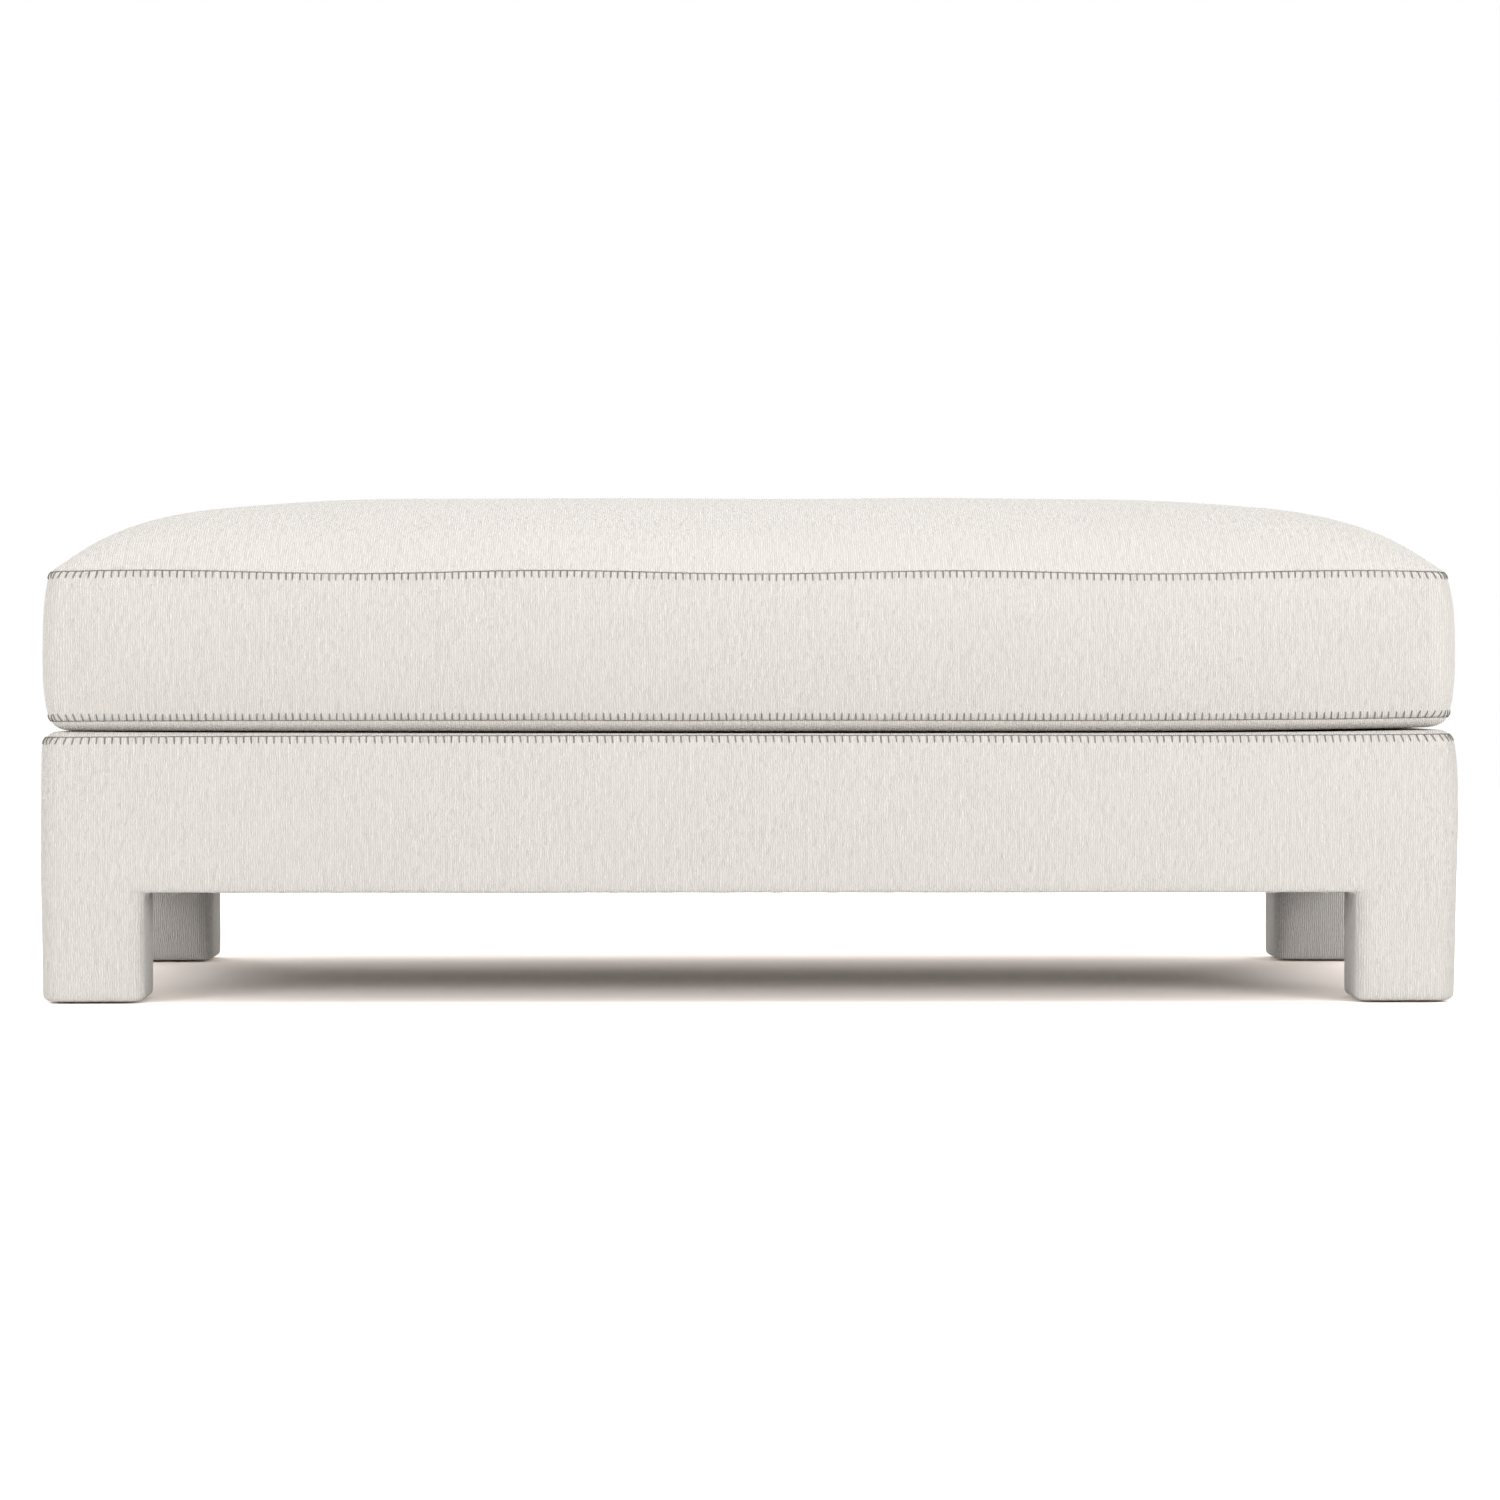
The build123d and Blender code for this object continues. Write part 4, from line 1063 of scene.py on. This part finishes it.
def weigh_edges(piece, level_share, below):
    """Weights the sharp edges below a height for a bevel: upright ones in full, level ones by a share."""
    sharp_from = math.radians(50)
    mesh = piece.data
    weights = mesh.attributes.new("bevel_weight_edge", "FLOAT", "EDGE")
    normals_at = {}
    for polygon in mesh.polygons:
        for key in polygon.edge_keys:
            normals_at.setdefault(key, []).append(polygon.normal)
    for edge in mesh.edges:
        normals = normals_at[edge.key]
        start, end = (mesh.vertices[index].co for index in edge.vertices)
        if start.z < below and len(normals) == 2 and normals[0].angle(normals[1]) > sharp_from:
            along = end - start
            upright = abs(along.z) > max(abs(along.x), abs(along.y))
            weights.data[edge.index].value = 1.0 if upright else level_share


def soften(piece):
    """Hand-pulled cloth: slow unevenness of a fraction of a millimetre over padding."""
    slow_height = 0.7 * MM
    fine_height = 0.3 * MM
    points = points_of(piece)
    normals = normals_of(piece)
    for index, (x, y, z) in enumerate(points):
        slow = slow_height * cloud(x * 6, y * 6, z * 8)
        fine = fine_height * cloud(x * 22, y * 22, z * 16 + 5)
        points[index] += normals[index] * (slow + fine + fine_height)
    move_points(piece, points)


def panel(name, half_x, half_y, near, cell, radius_at, height_at, shown=None):
    """A level panel of quads inside a rounded outline."""
    xs = axis_places(half_x, near, cell)
    ys = axis_places(half_y, near, cell)

    def place(i, j, _):
        inset = min(half_x - abs(xs[i]), half_y - abs(ys[j]))
        x, y = round_corners(xs[i], ys[j], half_x, half_y, radius_at)
        return x, y, height_at(x, y, inset)

    def upper(side, i, j, k):
        if side[2] <= 0:
            return False
        return not shown or shown(abs(xs[i] + xs[i + 1]) / 2, abs(ys[j] + ys[j + 1]) / 2)

    return lattice_skin(name, (len(xs) - 1, len(ys) - 1, 1), place, shown=upper)[0]


def deck_pieces(materials):
    """The lip band over the top edge and the plain deck cloth inside it, with their padding."""
    sizes = settings().ottoman_base
    turn = math.asin((base_seam - deck_top + sizes.roll_radius) / sizes.roll_radius)
    seam_inset = sizes.roll_radius * (1 - math.cos(turn)) + sizes.side_bulge
    half_x, half_y = half_width - seam_inset, half_depth - seam_inset
    across = sizes.roll_radius - seam_inset
    band_width = half_width - deck_cloth_half_x
    band_x, band_y = half_x - band_width, half_y - band_width
    lip_dip = 1.5 * MM
    lip_dip_run = 0.1
    lip_press = 2.1 * MM

    def roll(x, y, inset):
        share = min(inset / across, 1)
        low = base_seam + base_seam_shift(x, y)
        dip = lip_dip * min(max(inset - across, 0) / lip_dip_run, 1)
        high = deck_top + base_curl * curl(x, y) - lip_press * pressed(x) - dip
        return low + (high - low) * math.sin(share * math.pi / 2)

    near_lip = (0.0, 0.8 * MM, 2 * MM, 4 * MM, 7 * MM, 12 * MM, 20 * MM, half_x - band_x)
    band = panel("base_lip", half_x, half_y, near_lip, sizes.cell * 2, lambda d: sizes.corner_radius - d,
                 roll, lambda x, y: x > band_x or y > band_y)
    points = points_of(band)
    points[:, 0] -= [right_shoulder(x, base_seam) for x in points[:, 0]]
    move_points(band, points)
    apply_modifier(band, "SOLIDIFY", thickness=8 * MM, offset=-1)
    apply_modifier(band, "SUBSURF", levels=1, render_levels=1)
    lay_cloth(band, half_x, half_y, sizes.corner_radius)
    smooth(band)
    dress(band, "table", "cover_cloth", materials)
    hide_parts("base_lip_band", *[f"{side}_edge_roll" for side in side_names])

    deck_below_lip = 4.2 * MM
    deck_sag = 2.5 * MM
    sag_run = 0.2
    overlap = 1 * MM
    near_deck = (0.0, 3 * MM, 8 * MM, 16 * MM)

    def sag(x, y, inset):
        edge = 1.2 * MM * math.exp(-inset / (3 * MM))
        middle = min(inset / sag_run, 1)
        level = deck_top - deck_below_lip - edge - deck_sag * middle ** 1.5
        return level + 0.5 * MM * cloud(x * 6, y * 6, 1)

    deck = panel("deck_pad", band_x + overlap, band_y + overlap, near_deck, sizes.cell * 1.5, lambda d: 0,
                 sag)
    apply_modifier(deck, "SOLIDIFY", thickness=12 * MM, offset=-1)
    lay_cloth(deck, band_x, band_y, radius=1 * MM)
    smooth(deck, angle=50)
    dress(deck, "table", "deck_cloth", materials)
    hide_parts("deck_cloth", "deck_foam")


def outline_point(distance, half_x, half_y, radius):
    """A point and its outward direction at a distance round a rounded outline."""
    straight_x, straight_y, arc = 2 * (half_x - radius), 2 * (half_y - radius), math.pi / 2 * radius
    runs = [(straight_x, (1, 0)), (straight_y, (0, 1)), (straight_x, (-1, 0)), (straight_y, (0, -1))]
    x, y = -half_x + radius, -half_y
    distance = distance % (2 * (straight_x + straight_y) + 4 * arc)
    for length, (along_x, along_y) in runs:
        out_x, out_y = along_y, -along_x
        if distance <= length:
            return x + along_x * distance, y + along_y * distance, out_x, out_y
        x, y, distance = x + along_x * length, y + along_y * length, distance - length
        if distance <= arc:
            turn = distance / radius
            side_x = out_x * math.cos(turn) + along_x * math.sin(turn)
            side_y = out_y * math.cos(turn) + along_y * math.sin(turn)
            return x - out_x * radius + side_x * radius, y - out_y * radius + side_y * radius, side_x, side_y
        x, y = x - out_x * radius + along_x * radius, y - out_y * radius + along_y * radius
        distance -= arc
    return x, y, out_x, out_y


# How a stitch lies: shares of its way, and how far it stands off the cloth there
line_lies = ((0.0, 0.9), (0.25, 1.15), (0.5, 0.8), (0.75, 0.75))
leg_lies = ((0.0, 0.8), (0.12, 1.3), (0.45, 1.25), (0.8, 0.9), (0.97, 0.2), (1.03, -0.9))
line_offset = 1.7
fan_run = 14 * MM

# Places of the stitched lines: above or below their seams, and inside the base's outline
cushion_line = 1.2 * MM
base_line = 0.6 * MM
base_line_inset = 4 * MM


def blanket_stitches(name, surface, outline, height_at, pitch, way, slant, body, node, materials):
    """One ring of blanket stitching: a thread along the seam and a leg at every stitch."""
    sizes = settings().ottoman_stitches
    half_x, half_y, radius = outline
    draw = random.Random(name)
    total = 4 * (half_x + half_y - 2 * radius) + 2 * math.pi * radius
    count = round(total / pitch)
    step = total / count
    lift = sizes.thread * 0.75
    thread_line = []
    legs = []

    def on_surface(x, y, z, out_x, out_y, stand):
        start = Vector((x + out_x * outside, y + out_y * outside, z))
        hit, normal, _, _ = surface.ray_cast(start, Vector((-out_x, -out_y, 0)))
        if hit is None:
            hit, normal = Vector((x, y, z)), Vector((out_x, out_y, 0))
        return hit + normal * stand

    arc = math.pi / 2 * radius
    first_corner = 2 * (half_x - radius) + arc / 2
    corners = [first_corner, first_corner + 2 * (half_y - radius) + arc]
    corners += [corner + total / 2 for corner in corners]

    def fanned(at):
        away = min(((at - corner + total / 2) % total - total / 2 for corner in corners), key=abs)
        turn = -away / fan_run
        return sizes.fan * turn * math.exp(1 - abs(turn))

    for stitch in range(count):
        at = stitch * step + draw.uniform(-0.05, 0.05) * step
        for share, stand in line_lies:
            x, y, out_x, out_y = outline_point(at + share * step, half_x, half_y, radius)
            below = way * (line_offset + draw.uniform(-0.15, 0.15)) * MM * (1 if share else 1.15)
            thread_line.append(on_surface(x, y, height_at(x, y) + below, out_x, out_y, lift * stand))
        reach = sizes.reach + draw.uniform(-0.5, 0.5) * MM
        lean = slant + fanned(at) + draw.uniform(-0.07, 0.07)
        leg = []
        for share, stand in leg_lies:
            x, y, out_x, out_y = outline_point(at + lean * reach * share, half_x, half_y, radius)
            z = height_at(x, y) + way * (line_offset * MM + reach * share)
            leg.append(on_surface(x, y, z, out_x, out_y, lift * stand))
        legs.append(leg)

    data = bpy.data.curves.new(name, "CURVE")
    data.dimensions = "3D"
    data.bevel_depth = sizes.thread
    data.bevel_resolution = 1
    data.use_fill_caps = True
    for points, closed in [(thread_line, True)] + [(leg, False) for leg in legs]:
        spline = data.splines.new("POLY")
        spline.points.add(len(points) - 1)
        spline.use_cyclic_u = closed
        for point, place in zip(spline.points, points):
            point.co = (*place, 1)
            point.radius = sizes.line_share if closed else 1.0
    stitching = bpy.data.objects.new(name, data)
    bpy.context.scene.collection.objects.link(stitching)
    select_only(stitching)
    bpy.ops.object.convert(target="MESH")
    stitching = bpy.context.view_layer.objects.active
    smooth(stitching)
    dress(stitching, body, "grey_thread", materials)
    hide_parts(node)


def stitching_pieces(cushion, wrap, materials):
    """The three rings of stitching."""
    sizes = settings().ottoman_stitches
    cushion_sizes = settings().ottoman_cushion
    soft = surface_of(cushion)
    outline = (crown_high.x + cushion_sizes.spread, crown_high.y, cushion_sizes.corner_radius)
    base_outline = (half_width - base_line_inset, half_depth - base_line_inset,
                    settings().ottoman_base.corner_radius)
    blanket_stitches("cushion_top_stitches", soft, outline,
                     lambda x, y: crown_low.z + seam_height(x, y, True) + cushion_line,
                     sizes.pitch, -1, 0.0, "cushion", "cushion_top_stitching", materials)
    blanket_stitches("cushion_bottom_stitches", soft, outline,
                     lambda x, y: boxing_low.z + seam_height(x, y, False) - cushion_line,
                     sizes.pitch, 1, 0.0, "cushion", "cushion_bottom_stitching", materials)
    blanket_stitches("base_edge_stitches", surface_of(wrap), base_outline,
                     lambda x, y: base_seam + base_seam_shift(x, y) + base_line,
                     sizes.base_pitch, -1, 0.10, "table", "base_edge_stitching", materials)


def dust_cover_pieces(materials):
    """The black cloth under the frame, cut away round the legs, with its staples."""
    sizes = settings().ottoman_base
    half_x, half_y = dust_high.x, dust_high.y
    cut_margin = 6 * MM
    cut_x, cut_y = leg_inner_x - cut_margin, leg_inner_y - cut_margin
    level = apron_bottom + 1.2 * MM
    hem = 12 * MM
    fold = 0.4 * MM
    sag_run = 0.25
    sag_depth = 4.5 * MM

    def sag(x, y, inset):
        from_edge = min(inset / sag_run, 1)
        ripple = 0.5 * MM * cloud(x * 9, y * 9, 0)
        folded = fold if inset < hem + 0.1 * MM else 0
        hanging = sag_depth * math.sin(from_edge * math.pi / 2) ** 2
        return level - folded - hanging + ripple * from_edge

    near = (0.0, 6 * MM, hem, hem + 1.2 * MM, 22 * MM, half_x - cut_x)
    cloth = panel("dust_cover_cloth", half_x, half_y, near, sizes.cell * 2, lambda d: 0, sag,
                  lambda x, y: x < cut_x or y < cut_y)
    apply_modifier(cloth, "SUBSURF", levels=1, render_levels=1, boundary_smooth="PRESERVE_CORNERS")
    apply_modifier(cloth, "SOLIDIFY", thickness=0.5 * MM, offset=0)
    lay_cloth(cloth, half_x, half_y, radius=1 * MM)
    smooth(cloth, angle=60)
    dress(cloth, "table", "dust_cloth", materials)
    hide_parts("dust_cover")

    def row(cut):
        count = round(2 * cut / sizes.staple_pitch)
        return [-cut + cut * (2 * n + 1) / count for n in range(count)]

    inset = hem / 2
    staple_level = apron_bottom + 0.4 * MM
    along, across, thick = 10 * MM, 1.1 * MM, 0.7 * MM
    places = [(x, side * (half_y - inset), (along, across, thick)) for side in (-1, 1) for x in row(cut_x)]
    places += [(side * (half_x - inset), y, (across, along, thick)) for side in (-1, 1) for y in row(cut_y)]
    staples = []
    for x, y, scale in places:
        bpy.ops.mesh.primitive_cube_add(size=1, location=(x, y, staple_level), scale=scale)
        staples.append(added("staple"))
        bevel_all(0.2 * MM)
    staples = join("dust_cover_staples", staples)
    smooth(staples, angle=40)
    dress(staples, "table", "zinc_plated_steel", materials)


def finish_frame(materials):
    """Gives each packed wooden, metal and plastic piece its material."""
    along_y = ("left_rail", "right_rail", "left_cross_rail", "right_cross_rail")
    slots = {entry["node"]: entry["material_slot"] for entry in frame["record"]["subparts"]}
    for node, piece in frame["nodes"].items():
        slot = slots[node]
        if slot == "frame_wood":
            slot += "_y" if node in along_y else "_z" if node.endswith("post") else "_x"
        if slot in materials:
            piece.data.materials.clear()
            piece.data.materials.append(materials[slot])


# Operators

# The materials, and the pieces that later operators need
made = {}


class OTTOMAN_OT_frame_finishes(bpy.types.Operator):
    """Give the wooden, metal and plastic pieces of the frame their materials"""

    bl_idname = "ottoman.frame_finishes"
    bl_label = "Frame finishes"

    def execute(self, context):
        made["materials"] = make_materials()
        finish_frame(made["materials"])
        return {"FINISHED"}


class OTTOMAN_OT_cushion(bpy.types.Operator):
    """Make the loose cushion"""

    bl_idname = "ottoman.cushion"
    bl_label = "Cushion"

    def execute(self, context):
        made["cushion"] = cushion_piece(made["materials"])
        return {"FINISHED"}


class OTTOMAN_OT_zip(bpy.types.Operator):
    """Make the zip's coil and the strips beside it"""

    bl_idname = "ottoman.zip"
    bl_label = "Zip"

    def execute(self, context):
        zip_pieces(made["materials"])
        return {"FINISHED"}


class OTTOMAN_OT_base_cover(bpy.types.Operator):
    """Make the padded cover of the base and its legs"""

    bl_idname = "ottoman.base_cover"
    bl_label = "Base cover"

    def execute(self, context):
        made["wrap"] = base_wrap_piece(made["materials"])
        back_seam_pieces(made["wrap"], made["materials"])
        return {"FINISHED"}


class OTTOMAN_OT_deck(bpy.types.Operator):
    """Make the lip band and the deck under the cushion"""

    bl_idname = "ottoman.deck"
    bl_label = "Lip band and deck"

    def execute(self, context):
        deck_pieces(made["materials"])
        return {"FINISHED"}


class OTTOMAN_OT_stitching(bpy.types.Operator):
    """Sew the three rings of blanket stitching"""

    bl_idname = "ottoman.stitching"
    bl_label = "Blanket stitching"

    def execute(self, context):
        stitching_pieces(made["cushion"], made["wrap"], made["materials"])
        return {"FINISHED"}


class OTTOMAN_OT_dust_cover(bpy.types.Operator):
    """Stretch the dust cover under the frame"""

    bl_idname = "ottoman.dust_cover"
    bl_label = "Dust cover"

    def execute(self, context):
        dust_cover_pieces(made["materials"])
        return {"FINISHED"}


class OTTOMAN_OT_stage(bpy.types.Operator):
    """Set up the floor, the light and the camera"""

    bl_idname = "ottoman.stage"
    bl_label = "Stage"

    def execute(self, context):
        make_stage()
        return {"FINISHED"}


# Places of the soft lamps at the sides, and shares of their power
side_lamps = (((-2.6, -3.2, 1.5), 0.8), ((2.6, -3.2, 1.3), 1.1), ((-2.6, 3.2, 1.4), 0.6),
              ((2.6, 3.2, 1.4), 0.6))
top_lamp_place = (0, -0.6, 2.8)
lamp_target = Vector((0, 0, 0.3))
lamp_sides = (1.6, 1.0)

# Colours of the floor: as it lights the table, and as the camera sees it
ground_colour = (0.90, 0.90, 0.90)
seen_colour = (1.0, 0.98, 0.96)

# The photograph's view, in metres and degrees
camera_place = (-0.051, -4.601, 0.335)
camera_tilt = 88.9
camera_turn = -0.676
camera_lens = 102.3


def make_floor(sizes):
    """A pale floor with the object's shadow, clear from below and brighter where it is seen."""
    bpy.ops.mesh.primitive_plane_add(size=sizes.floor, location=(0, 0, 0))
    floor = added("floor")
    material, tree = new_tree("pale_floor")
    seen = add_node(tree, "ShaderNodeLightPath").outputs
    direct = maths(tree, "MAXIMUM", seen["Is Camera Ray"],
                   maths(tree, "MAXIMUM", seen["Is Glossy Ray"], seen["Is Transmission Ray"]))
    ground = add_node(tree, "ShaderNodeBsdfDiffuse", {"Color": ground_colour})
    pale = add_node(tree, "ShaderNodeBsdfDiffuse", {"Color": seen_colour})
    paler = add_node(tree, "ShaderNodeBsdfDiffuse", {"Color": sizes.floor_lift})
    seen_ground = add_node(tree, "ShaderNodeAddShader", {0: pale.outputs[0], 1: paler.outputs[0]})
    total = add_node(tree, "ShaderNodeMixShader",
                     {0: direct, 1: ground.outputs[0], 2: seen_ground.outputs[0]})
    below = add_node(tree, "ShaderNodeNewGeometry").outputs["Backfacing"]
    clear = add_node(tree, "ShaderNodeBsdfTransparent")
    shown = add_node(tree, "ShaderNodeMixShader", {0: below, 1: total.outputs[0], 2: clear.outputs[0]})
    add_node(tree, "ShaderNodeOutputMaterial", {"Surface": shown.outputs[0]})
    floor.data.materials.append(material)


def make_sky(sizes):
    """Even light from all round, warmer close to the floor, and white where the camera sees it."""
    world = bpy.data.worlds.new("studio")
    world.use_nodes = True
    world.node_tree.nodes.clear()
    tree = world.node_tree
    seen = add_node(tree, "ShaderNodeLightPath").outputs
    direct = maths(tree, "MAXIMUM", seen["Is Camera Ray"], seen["Is Transmission Ray"])
    height = add_node(tree, "ShaderNodeSeparateXYZ", {0: object_place(tree)}).outputs[2]
    above = maths(tree, "MAXIMUM", direct, ranged(tree, height, 0.03, 0.22))
    sky = add_node(tree, "ShaderNodeBackground",
                   {"Color": blended(tree, above, sizes.low_sky, (1, 1, 1)),
                    "Strength": ranged(tree, direct, 0.0, 1.0, sizes.sky, 1.0)})
    add_node(tree, "ShaderNodeOutputWorld", {"Surface": sky.outputs[0]})
    bpy.context.scene.world = world


def make_stage():
    """The floor, the even light, five soft lamps, and the photograph's view."""
    sizes = settings().ottoman_stage
    scene = bpy.context.scene
    make_floor(sizes)
    make_sky(sizes)
    lamps = [(place, sizes.lamp * share) for place, share in side_lamps] + [(top_lamp_place, sizes.top_lamp)]
    for place, energy in lamps:
        bpy.ops.object.light_add(type="AREA", location=place)
        lamp = bpy.context.view_layer.objects.active
        lamp.name = "soft_lamp"
        lamp.data.shape = "RECTANGLE"
        lamp.data.size, lamp.data.size_y = lamp_sides
        lamp.data.energy = energy
        lamp.rotation_euler = (lamp_target - lamp.location).to_track_quat("-Z", "Y").to_euler()

    camera_data = bpy.data.cameras.new("camera")
    camera_data.lens = camera_lens
    camera_data.sensor_width = 36.0
    camera = bpy.data.objects.new("camera", camera_data)
    scene.collection.objects.link(camera)
    camera.location = camera_place
    camera.rotation_euler = (math.radians(camera_tilt), 0, math.radians(camera_turn))
    scene.camera = camera
    scene.view_settings.view_transform = "Standard"


class OTTOMAN_PT_panel(bpy.types.Panel):
    """Lists the pieces of the ottoman coffee table"""

    bl_label = "Ottoman coffee table"
    bl_idname = "OTTOMAN_PT_panel"
    bl_space_type = "VIEW_3D"
    bl_region_type = "UI"
    bl_category = "Ottoman"

    def draw(self, context):
        for operator in operators:
            self.layout.operator(operator.bl_idname)


operators = (OTTOMAN_OT_frame_finishes, OTTOMAN_OT_cushion, OTTOMAN_OT_zip, OTTOMAN_OT_base_cover,
             OTTOMAN_OT_deck, OTTOMAN_OT_stitching, OTTOMAN_OT_dust_cover, OTTOMAN_OT_stage)
groups_of_sizes = {
    "ottoman_cushion": CushionSizes,
    "ottoman_zip": ZipSizes,
    "ottoman_base": BaseSizes,
    "ottoman_stitches": StitchSizes,
    "ottoman_colours": CoverColours,
    "ottoman_stage": StageSizes,
}


def register():
    """Registers the sizes, the operators and the panel."""
    for name, group in groups_of_sizes.items():
        bpy.utils.register_class(group)
        setattr(bpy.types.Scene, name, PointerProperty(type=group))
    for operator in operators:
        bpy.utils.register_class(operator)
    bpy.utils.register_class(OTTOMAN_PT_panel)


def unregister():
    """Takes them all away again."""
    bpy.utils.unregister_class(OTTOMAN_PT_panel)
    for operator in reversed(operators):
        bpy.utils.unregister_class(operator)
    for name, group in groups_of_sizes.items():
        delattr(bpy.types.Scene, name)
        bpy.utils.unregister_class(group)


def main():
    """Makes the whole table."""
    register()
    bpy.ops.ottoman.frame_finishes()
    bpy.ops.ottoman.cushion()
    bpy.ops.ottoman.zip()
    bpy.ops.ottoman.base_cover()
    bpy.ops.ottoman.deck()
    bpy.ops.ottoman.stitching()
    bpy.ops.ottoman.dust_cover()
    bpy.ops.ottoman.stage()


if __name__ == "__main__":
    main()
